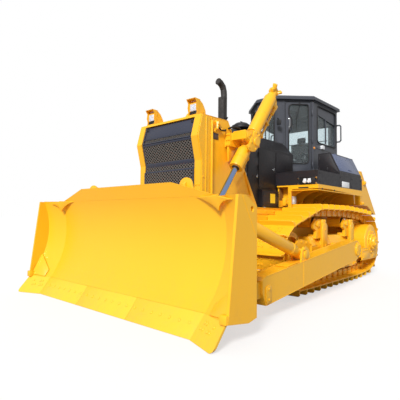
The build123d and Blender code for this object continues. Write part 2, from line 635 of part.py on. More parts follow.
def main():
    os.makedirs("parts", exist_ok=True)
    for side, place in (("left", lambda s: s), ("right", right)):
        write(f"track_{side}", place(track()))
        write(f"track_frame_{side}", place(track_frame()))
        write(f"lift_barrel_{side}", place(lift_barrel()))
        write(f"lift_rod_{side}", place(lift_rod()))
        panel, pane = door_parts()
        write(f"cab_door_{side}", place(panel))
        write(f"door_glass_{side}", place(pane))
    write("sprockets", *both(sprocket()))
    write("final_drives", *both(final_drive()))
    write("idlers", *both(idler()))
    write("track_rollers", *[s for r in track_rollers() for s in both(r)])
    write("carrier_rollers", *[s for r in carrier_rollers() for s in both(r)])
    write("main_frame", main_frame())
    write("belly_guard", belly_guard())
    write("engine_block", engine_block())
    write("radiator_guard", radiator_guard())
    write("front_grille", front_grille())
    write("headlights", *headlights())
    write("hood", hood())
    write("side_panels", *side_panels())
    write("exhaust", exhaust())
    write("pre_cleaner", pre_cleaner())
    write("cab_base", cab_base())
    write("cab_frame", cab_frame())
    write("cab_roof", cab_roof())
    write("cab_glass", *cab_glass())
    write("operator_seat", operator_seat())
    write("cab_consoles", *cab_consoles())
    write("fenders", *both(fender()))
    write("side_boxes", *both(side_box()))
    write("fuel_tank", fuel_tank())
    write("drawbar", drawbar())
    write("grab_handles", *grab_handles())
    write("lift_yokes", *lift_yokes())
    write("blade_mouldboard", blade_mouldboard())
    write("cutting_edge", cutting_edge())
    write("end_bits", *end_bits())
    write("push_arms", *push_arms())
    write("brace", brace())
    write("tilt_cylinder", tilt_cylinder())


main()
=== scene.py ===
"""Finishes a tracked bulldozer round its packed CAD model: paint, trim, tread, cab and stage."""
import json
from contextlib import contextmanager
from math import asin, atan2, cos, hypot, pi, radians, sin

import bpy
from mathutils import Matrix, Vector


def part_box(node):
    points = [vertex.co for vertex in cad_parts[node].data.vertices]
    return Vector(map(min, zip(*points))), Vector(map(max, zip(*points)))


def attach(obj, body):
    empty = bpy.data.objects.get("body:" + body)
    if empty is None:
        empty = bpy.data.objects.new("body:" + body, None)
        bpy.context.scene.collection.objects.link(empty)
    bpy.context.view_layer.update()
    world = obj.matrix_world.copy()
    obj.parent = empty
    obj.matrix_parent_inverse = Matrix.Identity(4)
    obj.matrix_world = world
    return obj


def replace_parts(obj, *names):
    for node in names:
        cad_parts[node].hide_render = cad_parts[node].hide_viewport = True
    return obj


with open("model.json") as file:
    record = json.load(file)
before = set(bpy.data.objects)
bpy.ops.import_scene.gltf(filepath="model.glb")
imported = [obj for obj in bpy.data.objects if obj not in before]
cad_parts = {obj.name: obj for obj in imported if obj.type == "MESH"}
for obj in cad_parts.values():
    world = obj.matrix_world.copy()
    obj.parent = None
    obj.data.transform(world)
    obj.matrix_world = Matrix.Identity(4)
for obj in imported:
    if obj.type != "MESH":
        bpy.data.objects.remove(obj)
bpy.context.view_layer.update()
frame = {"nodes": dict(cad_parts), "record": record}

bl_info = {
    "name": "Bulldozer Finishing",
    "version": (1, 0, 0),
    "blender": (4, 5, 0),
    "location": "View3D > Sidebar > Bulldozer",
    "description": "Adds paint, trim, tread and cab fittings to a tracked bulldozer",
    "category": "Object",
}

NODES = frame["nodes"]


def middle(node):
    """Centre of a CAD node's box."""
    low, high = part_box(node)
    return (low + high) / 2


# Lengths are in metres. Points are (x, y, z) with x forward from the sprockets' axle, y to the
# machine's left from its middle, and z up from the ground.
AXLE_X = middle("sprockets").x
FORE, BACK, LEFT, RIGHT, UP, DOWN = (1, 0, 0), (-1, 0, 0), (0, 1, 0), (0, -1, 0), (0, 0, 1), (0, 0, -1)


def tone(red, green, blue):
    """A display colour, 0 to 255, as the linear values that a shader takes."""
    return [c / 3294.6 if c < 10.31 else ((c / 255 + 0.055) / 1.055) ** 2.4 for c in (red, green, blue)]


# ---- settings --------------------------------------------------------------------------------
def colour(label, text, *rgb):
    """Colour setting; the default is what a screen shows, 0 to 255."""
    return bpy.props.FloatVectorProperty(name=label, description=text, default=tone(*rgb), size=3,
                                         min=0, max=1, subtype="COLOR")


def length(label, text, metres):
    """Length setting, in metres."""
    return bpy.props.FloatProperty(name=label, description=text, default=metres, min=0,
                                   subtype="DISTANCE", unit="LENGTH")


class PaintSettings(bpy.types.PropertyGroup):
    """Colours of the machine's finishes."""
    machine: colour("Machine", "Paint of the blade, frame, nose and tracks", 253, 188, 30)
    edges: colour("Wear edges", "Paint of the cutting edge and end bits", 250, 196, 48)
    panels: colour("Panels", "Paint of the hood and side panels", 34, 31, 35)
    cab: colour("Cab", "Paint of the cab, its roof and doors", 64, 67, 75)
    grille: colour("Grille", "Paint of the grille and its frame", 50, 54, 70)
    # Painted reflection: the sloping lids get a lighter blue-grey than the black panels, standing for the sky that
    # their slope reflects.
    incline: colour("Box lid", "Paint of the side boxes' sloping lids", 92, 102, 132)
    rubber: colour("Rubber", "Seals, hoses and mats", 24, 24, 26)
    dust: colour("Dust", "Dry dust on the lower parts", 176, 142, 92)


class SizeSettings(bpy.types.PropertyGroup):
    """Sizes of small fittings."""
    bolt: length("Bolt head", "Radius of an ordinary bolt head", 0.014)


# ---- mesh helpers ----------------------------------------------------------------------------
def place(point):
    """A point given from the sprockets' axle, in the frame."""
    return Vector((point[0] + AXLE_X, point[1], point[2]))


def only(part):
    """Makes part the one selected and active object."""
    bpy.ops.object.select_all(action="DESELECT")
    part.select_set(True)
    bpy.context.view_layer.objects.active = part


def added():
    """The object that an operator has just added, with its place moved into its mesh."""
    part = bpy.context.object
    only(part)
    bpy.ops.object.transform_apply(location=True, rotation=True, scale=True)
    return part


@contextmanager
def editing(part, test=None, kind="FACE"):
    """Edit mode with the faces, edges or vertices that pass test selected, or with all of them."""
    only(part)
    bpy.ops.object.mode_set(mode="EDIT")
    bpy.ops.mesh.select_mode(type=kind)
    bpy.ops.mesh.select_all(action="DESELECT" if test else "SELECT")
    if test:
        bpy.ops.object.mode_set(mode="OBJECT")
        mesh = part.data
        for item in {"FACE": mesh.polygons, "EDGE": mesh.edges, "VERT": mesh.vertices}[kind]:
            item.select = test(item)
        bpy.ops.object.mode_set(mode="EDIT")
    yield
    bpy.ops.object.mode_set(mode="OBJECT")


def modified(part, kind, **values):
    """Adds a modifier with those values and applies it."""
    part = joined(part)
    only(part)
    bpy.ops.object.modifier_add(type=kind)
    modifier = part.modifiers[-1]
    for key, value in values.items():
        setattr(modifier, key, value)
    bpy.ops.object.modifier_apply(modifier=modifier.name)
    return part


def soften(part, edge, rows=2, angle=30):
    """Rounds the edges sharper than angle degrees."""
    return modified(part, "BEVEL", width=edge, segments=rows, limit_method="ANGLE", angle_limit=radians(angle))


def box(low, high, edge=0.0, rows=2):
    """A block between two corners, its edges rounded."""
    low, high = place(low), place(high)
    bpy.ops.mesh.primitive_cube_add(size=1, location=(low + high) / 2, scale=high - low)
    part = added()
    return soften(part, edge, rows) if edge else part


def bar(start, end, radius, sides=20, edge=0.0):
    """A round bar between two points."""
    start, end = place(start), place(end)
    turn = (end - start).to_track_quat("Z", "Y").to_euler()
    bpy.ops.mesh.primitive_cylinder_add(vertices=sides, radius=radius, depth=(end - start).length,
                                        location=(start + end) / 2, rotation=turn)
    part = added()
    return soften(part, edge, 2, 50) if edge else part


def turned(steps, base, along=UP, sides=28):
    """A closed turned piece: (height, radius) steps up an axis that starts at base."""
    bpy.ops.mesh.primitive_circle_add(vertices=sides, radius=steps[0][1], fill_type="NGON")
    part = added()
    with editing(part):
        for (low, wide), (high, narrow) in zip(steps, steps[1:]):
            bpy.ops.mesh.extrude_region_move(TRANSFORM_OT_translate={"value": (0, 0, high - low)})
            ratio = narrow / wide
            bpy.ops.transform.resize(value=(ratio, ratio, 1), center_override=(0, 0, high))
        bpy.ops.mesh.select_all(action="SELECT")
        bpy.ops.mesh.normals_make_consistent(inside=False)
    part.rotation_euler = Vector(along).to_track_quat("Z", "Y").to_euler()
    part.location = place(base)
    return added()


def disc(radius, height, base, along=(0, 0, 1), sides=28):
    """A flat round piece that stands on base."""
    return turned([(0, radius), (height, radius)], base, along, sides)


def route(points):
    """A run of edges through points."""
    points = [place(p) for p in points]
    bpy.ops.mesh.primitive_plane_add(size=0.01, location=points[0])
    part = added()
    with editing(part, kind="VERT"):
        bpy.ops.mesh.merge(type="CENTER")
        for here, there in zip(points, points[1:]):
            bpy.ops.mesh.extrude_vertices_move(TRANSFORM_OT_translate={"value": there - here})
    return part


def tube(points, radius, bend=0.0, rows=5, around=3):
    """A bent tube through points, its corners rounded by bend."""
    part = route(points)
    if bend:
        inner = range(1, len(points) - 1)
        with editing(part, lambda v: v.index in inner, "VERT"):
            bpy.ops.mesh.bevel(offset=bend, segments=rows, affect="VERTICES")
    only(part)
    bpy.ops.object.convert(target="CURVE")
    part = bpy.context.object
    part.data.bevel_depth, part.data.bevel_resolution, part.data.use_fill_caps = radius, around, True
    bpy.ops.object.convert(target="MESH")
    return bpy.context.object


AXES = {"x": (1, 2), "y": (0, 2), "z": (0, 1)}


def plate(outline, span, axis="y", edge=0.0, rows=2):
    """An outline across an axis, given thickness between the two ends of span along it."""
    at, number = AXES[axis], "xyz".index(axis)
    points = []
    for pair in outline:
        point = [span[0]] * 3
        point[at[0]], point[at[1]] = pair
        points.append(point)
    push = Vector()
    push[number] = span[1] - span[0]
    return slab(points, push, edge, rows)


def slab(points, push, edge=0.0, rows=2):
    """A flat outline of (x, y, z) points given thickness along push."""
    part = route(points)
    with editing(part, kind="VERT"):
        bpy.ops.mesh.edge_face_add()
        bpy.ops.mesh.extrude_region_move(TRANSFORM_OT_translate={"value": push})
        bpy.ops.mesh.select_all(action="SELECT")
        bpy.ops.mesh.normals_make_consistent(inside=False)
    return soften(part, edge, rows) if edge else part


def moved(part, matrix):
    """The part carried to a new place by a matrix, with the move kept in its mesh."""
    part = joined(part)
    only(part)
    part.matrix_world = matrix @ part.matrix_world
    bpy.ops.object.transform_apply(location=True, rotation=True, scale=True)
    return part


def joined(parts):
    """One object from an object or from a list of them, which may hold further lists."""
    if isinstance(parts, bpy.types.Object):
        return parts
    parts = [joined(p) for p in parts]
    only(parts[0])
    for part in parts:
        part.select_set(True)
    if len(parts) > 1:
        bpy.ops.object.join()
    return bpy.context.object


def row(part, count, step):
    """The part repeated along a straight line."""
    return modified(part, "ARRAY", count=count, use_relative_offset=False, use_constant_offset=True,
                    constant_offset_displace=step)


def copy_of(part, shift=(0, 0, 0)):
    """A copy with its own mesh, moved by shift."""
    only(part)
    bpy.ops.object.duplicate(linked=False)
    bpy.ops.transform.translate(value=shift)
    return added()


def copies(part, shifts):
    """The part and its copies as one object; the shifts count from where the part is."""
    spares = [copy_of(part, shift) for shift in shifts]
    bpy.data.objects.remove(part)
    return joined(spares)


def both_sides(part):
    """The part and its mirror image on the machine's right."""
    return modified(part, "MIRROR", use_axis=(False, True, False), use_mirror_merge=False)


def on_right(part):
    """The part's mirror image alone."""
    part = both_sides(part)
    half = len(part.data.vertices) // 2
    with editing(part, lambda v: v.index < half, "VERT"):
        bpy.ops.mesh.delete(type="VERT")
    return part


def cut(part, *tools):
    """The part with the tools' shapes taken out of it."""
    for tool in tools:
        modified(part, "BOOLEAN", operation="DIFFERENCE", object=tool, solver="EXACT")
        bpy.data.objects.remove(tool)
    return part


def bolt(point, along, radius, height=None, sides=6):
    """A bolt head standing on a surface at point."""
    height = height or 0.75 * radius
    return turned([(0, radius), (0.7 * height, radius), (height, 0.8 * radius)], point, along, sides)


def bolts(points, along, radius, height=None, sides=6):
    """Like bolt heads at several points, as one object."""
    head = bolt(points[0], along, radius, height, sides)
    return copies(head, [Vector(p) - Vector(points[0]) for p in points])


def done(parts, name, look="machine", body="chassis", slot=None, smooth=32):
    """Joins, names and paints a finished piece, and lets it ride on its body."""
    part = joined(parts)
    only(part)
    part.name = part.data.name = name
    part.data.materials.clear()
    part.data.materials.append(finishes()[look])
    with editing(part):
        bpy.ops.mesh.normals_make_consistent(inside=False)
    if smooth:
        bpy.ops.object.shade_smooth_by_angle(angle=radians(smooth))
    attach(part, body)
    return part


def pair(parts, *rest, **more):
    """Finishes a piece of the left side together with its mirror image."""
    return done(both_sides(parts), *rest, **more)


def each_side(make, name, look, body):
    """Finishes a piece of the left side and its mirror image apart, on bodies of their own."""
    for side, placed in (("left", joined), ("right", on_right)):
        done(placed(make()), f"{name}_{side}", look, f"{body}_{side}")


def set_in(part, origin, along, up):
    """Carries a part modelled on the axle's zero to origin, its x and y axes turned to along and up."""
    along, up = Vector(along).normalized(), Vector(up).normalized()
    turn = Matrix((along, up, along.cross(up))).transposed().to_4x4()
    return moved(part, Matrix.Translation(place(origin)) @ turn @ Matrix.Translation(-place((0, 0, 0))))


def trimmed(part, low, high, axis):
    """The part with what lies below low and above high along an axis cut away."""
    for value, sign in ((low, -1), (high, 1)):
        with editing(part):
            at, way = [0, 0, 0], [0, 0, 0]
            at[axis], way[axis] = value, sign
            bpy.ops.mesh.bisect(plane_co=place(at), plane_no=way, use_fill=True, clear_outer=True)
    return part


def rounded_corners(low, high, radius, steps=4):
    """The outline of a rectangle with round corners, as (x, y) pairs."""
    (x0, y0), (x1, y1) = low, high
    points = []
    for cx, cy, start in ((x1 - radius, y1 - radius, 0), (x0 + radius, y1 - radius, 90),
                          (x0 + radius, y0 + radius, 180), (x1 - radius, y0 + radius, 270)):
        for i in range(steps + 1):
            turn = radians(start + 90 * i / steps)
            points.append((cx + radius * cos(turn), cy + radius * sin(turn)))
    return points


def seal(points, radius, closed=True):
    """A rubber bead that follows points in the part's own plane."""
    points = [(x, y, 0) for x, y in points]
    return tube(points + points[:2] if closed else points, radius, around=2)


def ring_of(point, along, radius, count, head, start=0.0):
    """Bolt heads set in a circle round an axis through point."""
    axis = Vector(along).normalized()
    side = axis.orthogonal().normalized()
    spots = []
    for i in range(count):
        spoke = Matrix.Rotation(start + 2 * pi * i / count, 3, axis) @ side
        spots.append(Vector(point) + spoke * radius)
    return bolts(spots, along, head)


# ---- materials -------------------------------------------------------------------------------
class Look:
    """Builds one node material on Object coordinates."""

    def __init__(self, name, base, rough, **sockets):
        self.material = bpy.data.materials.new(name)
        self.material.use_nodes = True
        self.tree = self.material.node_tree
        self.shader = self.tree.nodes["Principled BSDF"]
        self.shader.inputs["Roughness"].default_value = rough
        self.shader.inputs["Base Color"].default_value = (*base, 1)
        for key, value in sockets.items():
            self.shader.inputs[key.replace("_", " ").title().replace("Ior", "IOR")].default_value = value
        self.base = base
        self.coordinates = self.add("ShaderNodeTexCoord").outputs["Object"]
        self.normal = None

    def add(self, kind, **values):
        """A new node with those properties."""
        node = self.tree.nodes.new(kind)
        for key, value in values.items():
            setattr(node, key, value)
        return node

    def link(self, source, target):
        """Joins two sockets."""
        self.tree.links.new(source, target)

    def noise(self, scale, detail=3.0, stretch=(1, 1, 1), distortion=0.0):
        """A noise pattern from 0 to 1, stretched along the axes."""
        mapping, noise = self.add("ShaderNodeMapping"), self.add("ShaderNodeTexNoise")
        mapping.inputs["Scale"].default_value = stretch
        noise.inputs["Scale"].default_value = scale
        noise.inputs["Detail"].default_value = detail
        noise.inputs["Distortion"].default_value = distortion
        self.link(self.coordinates, mapping.inputs["Vector"])
        self.link(mapping.outputs["Vector"], noise.inputs["Vector"])
        return noise.outputs["Fac"]

    def ranged(self, source, low, high, to_low=0.0, to_high=1.0):
        """A value stretched from one range to another and clamped to it."""
        node = self.add("ShaderNodeMapRange")
        for key, value in (("From Min", low), ("From Max", high), ("To Min", to_low), ("To Max", to_high)):
            node.inputs[key].default_value = value
        self.link(source, node.inputs["Value"])
        return node.outputs["Result"]

    def maths(self, operation, first, second):
        node = self.add("ShaderNodeMath", operation=operation)
        for socket, value in zip(node.inputs, (first, second)):
            if isinstance(value, float):
                socket.default_value = value
            else:
                self.link(value, socket)
        return node.outputs[0]

    def height(self, low, high):
        """1 at height low, falling to 0 at height high."""
        split = self.add("ShaderNodeSeparateXYZ")
        self.link(self.coordinates, split.inputs[0])
        return self.ranged(split.outputs["Z"], low, high, 1.0, 0.0)

    def tint(self, fraction, other):
        """Lays another colour over the base colour by a fraction."""
        node, target = self.add("ShaderNodeMix", data_type="RGBA"), self.shader.inputs["Base Color"]
        node.inputs[6].default_value, node.inputs[7].default_value = target.default_value, (*other, 1)
        if target.is_linked:
            self.link(target.links[0].from_socket, node.inputs[6])
        self.link(fraction, node.inputs[0])
        self.link(node.outputs[2], target)

    def roughened(self, source, low, high):
        self.link(self.ranged(source, 0.3, 0.7, low, high), self.shader.inputs["Roughness"])

    def bump(self, source, distance, strength=1.0):
        """Raises the surface by a pattern, on top of what is already raised."""
        node = self.add("ShaderNodeBump")
        node.inputs["Strength"].default_value = strength
        node.inputs["Distance"].default_value = distance
        self.link(source, node.inputs["Height"])
        if self.normal:
            self.link(self.normal, node.inputs["Normal"])
        self.normal = node.outputs["Normal"]
        self.link(self.normal, self.shader.inputs["Normal"])

    def rounded(self, radius):
        """Softens the glint of sharp edges."""
        node = self.add("ShaderNodeBevel", samples=4)
        node.inputs["Radius"].default_value = radius
        self.normal = node.outputs["Normal"]
        self.link(self.normal, self.shader.inputs["Normal"])


def lighter(rgb, factor):
    """A colour with every channel scaled."""
    return [min(1.0, c * factor) for c in rgb]


def enamel(name, rgb, dust=None, rough=0.34, coat=0.25):
    """Sprayed machine enamel: slight mottling, orange peel, and dust on what is low down."""
    look = Look(name, rgb, rough, coat_weight=coat, coat_roughness=0.25)
    look.tint(look.ranged(look.noise(1.1, 3), 0.35, 0.7, 0.0, 0.6), lighter(rgb, 0.94))
    look.tint(look.ranged(look.noise(9.0, 5, (1, 1, 0.4)), 0.6, 0.85, 0.0, 0.2), lighter(rgb, 1.06))
    if dust:
        low_down = look.maths("MULTIPLY", look.height(0.0, 0.7), look.ranged(look.noise(14, 6), 0.45, 0.8))
        look.tint(look.maths("MULTIPLY", low_down, 0.16), dust)
    look.roughened(look.noise(30, 4), rough - 0.06, rough + 0.08)
    look.rounded(0.004)
    look.bump(look.noise(420, 2), 0.0004, 0.35)
    return look.material


def chrome(name, rgb):
    """Polished rod with faint grinding marks round it."""
    look = Look(name, rgb, 0.12, metallic=1.0)
    look.roughened(look.noise(60, 4, (1, 1, 5)), 0.08, 0.22)
    look.bump(look.noise(900, 1, (1, 1, 0.05)), 0.0002, 0.2)
    return look.material


def pane(name, rgb):
    """Tinted cab glass."""
    look = Look(name, rgb, 0.03, transmission_weight=0.95, ior=1.15)
    look.roughened(look.noise(5, 3), 0.02, 0.06)
    return look.material


def rubber(name, rgb):
    """Matt rubber or soft plastic with a fine grain."""
    look = Look(name, rgb, 0.62)
    look.tint(look.ranged(look.noise(18, 5), 0.45, 0.8, 0, 0.5), lighter(rgb, 1.8))
    look.bump(look.noise(260, 3), 0.0006, 0.4)
    return look.material


def cast(name, rgb):
    """Rough cast or heat-darkened metal."""
    look = Look(name, rgb, 0.6, metallic=0.3)
    look.tint(look.ranged(look.noise(24, 6), 0.4, 0.75), lighter(rgb, 1.6))
    look.roughened(look.noise(40, 4), 0.5, 0.75)
    look.bump(look.noise(160, 5), 0.0012, 0.5)
    return look.material


def vinyl(name, rgb):
    """Grained seat vinyl."""
    look = Look(name, rgb, 0.5, sheen_weight=0.2)
    look.tint(look.ranged(look.noise(12, 4), 0.4, 0.8, 0, 0.4), lighter(rgb, 1.5))
    cells = look.add("ShaderNodeTexVoronoi")
    cells.inputs["Scale"].default_value = 320
    look.link(look.coordinates, cells.inputs["Vector"])
    look.bump(cells.outputs["Distance"], 0.0008, 0.5)
    return look.material


class LookLibrary:
    """The finishes of this machine, made once each."""

    def __init__(self, paint):
        dust = paint.dust
        self.machine = enamel("machine_enamel", paint.machine, dust)
        self.edges = enamel("wear_edge_enamel", paint.edges, dust, 0.4, 0.1)
        self.panels = enamel("panel_enamel", paint.panels, None, 0.46, 0.1)
        self.cab = enamel("cab_enamel", paint.cab, None, 0.38)
        self.grille = enamel("grille_enamel", paint.grille, None, 0.42)
        # Painted reflection: lighter blue-grey for the sloping lids, standing for the reflected sky.
        self.incline = enamel("lid_sky_reflection_enamel", paint.incline, None, 0.3)
        # Painted reflection: the chrome is tinted sky blue to stand for the sky that the rod reflects.
        self.rod = chrome("rod_chrome", tone(160, 184, 228))
        self.glass = pane("cab_glazing", (0.8, 0.88, 0.9))
        self.rubber = rubber("seal_rubber", paint.rubber)
        self.iron = cast("dark_cast_iron", tone(58, 56, 55))
        self.vinyl = vinyl("seat_vinyl", tone(34, 34, 37))
        self.under = enamel("shaded_track_enamel", tone(186, 130, 46), dust, 0.5, 0.0)
        self.plastic = rubber("console_plastic", tone(52, 53, 56))
        self.wire = enamel("mesh_wire", tone(104, 99, 94), None, 0.5, 0.0)
        # Painted shade: near-black for the sheets behind the grille mesh, standing for the shade inside the nose.
        self.dark = enamel("grille_shade_black", tone(16, 15, 15), None, 0.7, 0.0)
        # Painted shade: dark brown for the fender's inner wall and the deck's underside, which lie in shade.
        self.inner = enamel("shaded_enamel", tone(132, 88, 34), dust, 0.6, 0.0)
        self.steel = chrome("plated_steel", tone(206, 208, 210))
        self.white = enamel("white_enamel", tone(232, 234, 236), None, 0.3)
        self.sign = enamel("sticker_yellow", tone(250, 214, 40), None, 0.4, 0.0)
        self.lens = enamel("lamp_glass", tone(226, 230, 240), None, 0.12, 0.6)
        self.amber = enamel("amber_glass", tone(232, 150, 62), None, 0.15, 0.6)


CAD_FINISHES = {
    "engine_grey": "iron", "grille_blue_black": "grille", "panel_black": "panels", "exhaust_black": "iron",
    "cab_grey": "cab", "glass": "glass", "seat_black": "vinyl", "console_grey": "plastic", "rod_chrome": "rod",
    "edge_yellow": "edges", "machine_yellow": "machine", "under_dark": "under",
}
made = {}


def finishes():
    """The materials by name, made at their first use."""
    if not made:
        made.update(vars(LookLibrary(bpy.context.scene.dozer_paint)))
    return made


class Piece:
    """What every operator here shares."""
    bl_options = {"REGISTER", "UNDO"}

    def execute(self, context):
        self.make(context.scene.dozer_sizes)
        return {"FINISHED"}


CAMERA_AT, CAMERA_TURN, LENS, SENSOR = (7.575, 3.763, 1.09), (42.06, 2.47, 0.53), 34.3, 36
SUN_TOWARD, SUN_STRENGTH, SUN_SPREAD = (0.85, 0.38, 0.62), 3.5, 0.25
SKY_LIGHT, SKY_SEEN, FLOOR_TONE, FLOOR_GLOW, FLOOR_SIZE = 0.5, 1.0, 0.36, 0.6, 400


class DOZER_OT_stage(Piece, bpy.types.Operator):
    """Camera, pale floor, sun and world"""
    bl_idname, bl_label = "dozer.stage", "Stage"

    def make(self, sizes):
        self.camera()
        bpy.ops.mesh.primitive_plane_add(size=FLOOR_SIZE, location=(0, 0, -0.001))
        floor = added()
        floor.name = "floor"
        floor.data.materials.append(self.floor_material())
        self.sun()
        self.world()

    def camera(self):
        """Placed by its yaw, pitch and roll, looking at the machine."""
        yaw, pitch, roll = (radians(turn) for turn in CAMERA_TURN)
        away = Vector((-cos(yaw) * cos(pitch), -sin(yaw) * cos(pitch), sin(pitch)))
        bpy.ops.object.camera_add(location=place(CAMERA_AT))
        camera = bpy.context.object
        turn = Matrix.Rotation(-roll, 3, away) @ away.to_track_quat("-Z", "Y").to_matrix()
        camera.rotation_euler = turn.to_euler()
        camera.data.sensor_width, camera.data.lens = SENSOR, LENS
        camera.data.clip_start = 0.1
        bpy.context.scene.camera = camera
        bpy.context.scene.view_settings.view_transform = "Standard"

    def floor_material(self):
        """White where light falls, dim in what it throws back up."""
        look = Look("studio_floor", [FLOOR_TONE] * 3, 0.9)
        rays, glow = look.add("ShaderNodeLightPath"), look.add("ShaderNodeEmission")
        add, output = look.add("ShaderNodeAddShader"), look.tree.nodes["Material Output"]
        look.link(look.maths("MULTIPLY", rays.outputs["Is Camera Ray"], FLOOR_GLOW), glow.inputs["Strength"])
        look.link(look.shader.outputs[0], add.inputs[0])
        look.link(glow.outputs[0], add.inputs[1])
        look.link(add.outputs[0], output.inputs["Surface"])
        return look.material

    def sun(self):
        """A soft sun over the front left."""
        bpy.ops.object.light_add(type="SUN", rotation=Vector(SUN_TOWARD).to_track_quat("Z", "Y").to_euler())
        lamp = bpy.context.object.data
        lamp.energy, lamp.angle = SUN_STRENGTH, SUN_SPREAD

    def world(self):
        """White where it is seen directly or through glass, and dimmer as a light."""
        world = bpy.data.worlds.new("studio")
        bpy.context.scene.world = world
        world.use_nodes = True
        tree = world.node_tree
        tree.nodes.clear()
        rays, output = tree.nodes.new("ShaderNodeLightPath"), tree.nodes.new("ShaderNodeOutputWorld")
        soft, white = tree.nodes.new("ShaderNodeBackground"), tree.nodes.new("ShaderNodeBackground")
        mix = tree.nodes.new("ShaderNodeMixShader")
        soft.inputs[0].default_value = white.inputs[0].default_value = (1, 1, 1, 1)
        soft.inputs[1].default_value, white.inputs[1].default_value = SKY_LIGHT, SKY_SEEN
        seen = tree.nodes.new("ShaderNodeMath")
        seen.operation = "MAXIMUM"
        tree.links.new(rays.outputs["Is Camera Ray"], seen.inputs[0])
        tree.links.new(rays.outputs["Is Transmission Ray"], seen.inputs[1])
        tree.links.new(seen.outputs[0], mix.inputs[0])
        tree.links.new(soft.outputs[0], mix.inputs[1])
        tree.links.new(white.outputs[0], mix.inputs[2])
        tree.links.new(mix.outputs[0], output.inputs[0])


class DOZER_OT_cad_finishes(Piece, bpy.types.Operator):
    """Paint, glass and rubber on the CAD nodes"""
    bl_idname, bl_label = "dozer.cad_finishes", "CAD finishes"

    def make(self, sizes):
        for part in frame["record"]["subparts"]:
            node = NODES[part["node"]]
            node.data.materials.clear()
            node.data.materials.append(finishes()[CAD_FINISHES[part["material_slot"]]])


# ---- undercarriage ----------------------------------------------------------------------------
SHOES = 38
TRACK_Y, SHOE_HALF = 1.0, 0.28
WHEELS = [  # x, z and radius of the pin line round the sprocket, carrier rollers, idler and end rollers
    (0, 0.64, 0.464), (0.92, 1.02, 0.14), (2.04, 1.02, 0.14), (2.742, 0.548, 0.4),
    (2.33, 0.542, 0.4), (0.49, 0.542, 0.4),
]


def pin_line():
    """Arcs and straight runs of the track's pins, from the sprocket over the top."""
    spans = []
    for (x0, z0, r0), (x1, z1, r1) in zip(WHEELS, WHEELS[1:] + WHEELS[:1]):
        normal = atan2(z1 - z0, x1 - x0) + pi / 2 + asin((r1 - r0) / hypot(x1 - x0, z1 - z0))
        spans.append(((x0 + r0 * cos(normal), z0 + r0 * sin(normal)),
                      (x1 + r1 * cos(normal), z1 + r1 * sin(normal)), normal))
    line = []
    for number, (wheel, span) in enumerate(zip(WHEELS, spans)):
        start = spans[number - 1][2]
        turn = (start - span[2]) % (2 * pi)
        line.append((wheel[2] * turn, wheel, start))
        line.append((hypot(span[1][0] - span[0][0], span[1][1] - span[0][1]), None, span))
    return line


def pin_at(line, distance):
    """(x, z) of the pin line at a distance along it."""
    for span, wheel, start in line:
        if distance <= span:
            break
        distance -= span
    if wheel:
        angle = start - distance / wheel[2]
        return wheel[0] + wheel[2] * cos(angle), wheel[1] + wheel[2] * sin(angle)
    (x0, z0), (x1, z1), _ = start
    share = distance / span
    return x0 + (x1 - x0) * share, z0 + (z1 - z0) * share


class DOZER_OT_tracks(Piece, bpy.types.Operator):
    """Track chains: grousered shoes, links, pins, bushings and shoe bolts"""
    bl_idname, bl_label = "dozer.tracks", "Tracks"

    def make(self, sizes):
        line = pin_line()
        pitch = sum(span for span, _, _ in line) / SHOES
        pins = [pin_at(line, number * pitch) for number in range(SHOES)]
        model = joined(self.section(pitch))
        home, sections = place((0, TRACK_Y, 0)), []
        for (x0, z0), (x1, z1) in zip(pins, pins[1:] + pins[:1]):
            there = place(((x0 + x1) / 2, TRACK_Y, (z0 + z1) / 2))
            turn = Matrix.Rotation(-atan2(z1 - z0, x1 - x0), 4, "Y")
            sections.append(moved(copy_of(model), Matrix.Translation(there) @ turn @ Matrix.Translation(-home)))
        bpy.data.objects.remove(model)
        left = joined(sections)
        for side, chain in (("left", left), ("right", on_right(copy_of(left)))):
            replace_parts(done(chain, "track_chain_" + side), "track_" + side)

    def section(self, pitch):
        """One shoe with its links, pin and bushing, its middle on the sprocket's axle."""
        half, y = pitch / 2, TRACK_Y
        pad = [(-half - 0.012, 0.055), (-half - 0.014, 0.071), (half - 0.04, 0.069), (half - 0.01, 0.058),
               (half + 0.016, 0.05), (half + 0.016, 0.038), (half - 0.015, 0.046), (half - 0.042, 0.052)]
        parts = [plate(pad, (y - SHOE_HALF, y + SHOE_HALF), edge=0.003, rows=1), self.grouser(half)]
        heads = [(x, y + dy, 0.069) for x in (-0.036, 0.044) for dy in (-0.125, -0.07, 0.07, 0.125)]
        parts.append(bolts(heads, UP, 0.016, 0.012))
        for side in (-1, 1):
            inner, middle, outer = (y + side * step for step in (0.07, 0.094, 0.118))
            parts.append(plate(self.link(-half, 0.02), sorted((middle, outer)), edge=0.003, rows=1))
            parts.append(plate(self.link(half, -0.02), sorted((inner, middle)), edge=0.003, rows=1))
            parts.append(bar((-half, outer, 0), (-half, outer + side * 0.008, 0), 0.024, 12, 0.002))
        parts.append(bar((-half, y - 0.072, 0), (-half, y + 0.072, 0), 0.033, 14))
        return parts

    def grouser(self, half):
        """The shoe's tall bar, its outer corners worn round."""
        y, wide, low, top = TRACK_Y, SHOE_HALF, 0.066, 0.142
        face = [(y - wide, low), (y + wide, low), (y + wide, 0.118), (y + wide - 0.006, 0.132),
                (y + wide - 0.024, top), (y - wide + 0.024, top), (y - wide + 0.006, 0.132), (y - wide, 0.118)]
        part = plate(face, (-half - 0.014, -half + 0.016), "x")
        foot = place((0, y, 0.12)).z
        with editing(part, lambda v: v.co.z > foot, "VERT"):
            bpy.ops.transform.resize(value=(0.55, 1, 1), center_override=place((-half, y, 0)))
        return soften(part, 0.003, 1)

    def link(self, end, other):
        """Half of a link's side plate, round at its pin."""
        sign = 1 if end > 0 else -1
        nose = [(end + sign * 0.044 * sin(a), 0.048 * cos(a)) for a in (radians(k) for k in range(0, 181, 36))]
        return [(other, 0.052), (end - sign * 0.02, 0.052), *nose, (end - sign * 0.02, -0.052), (other, -0.044)]


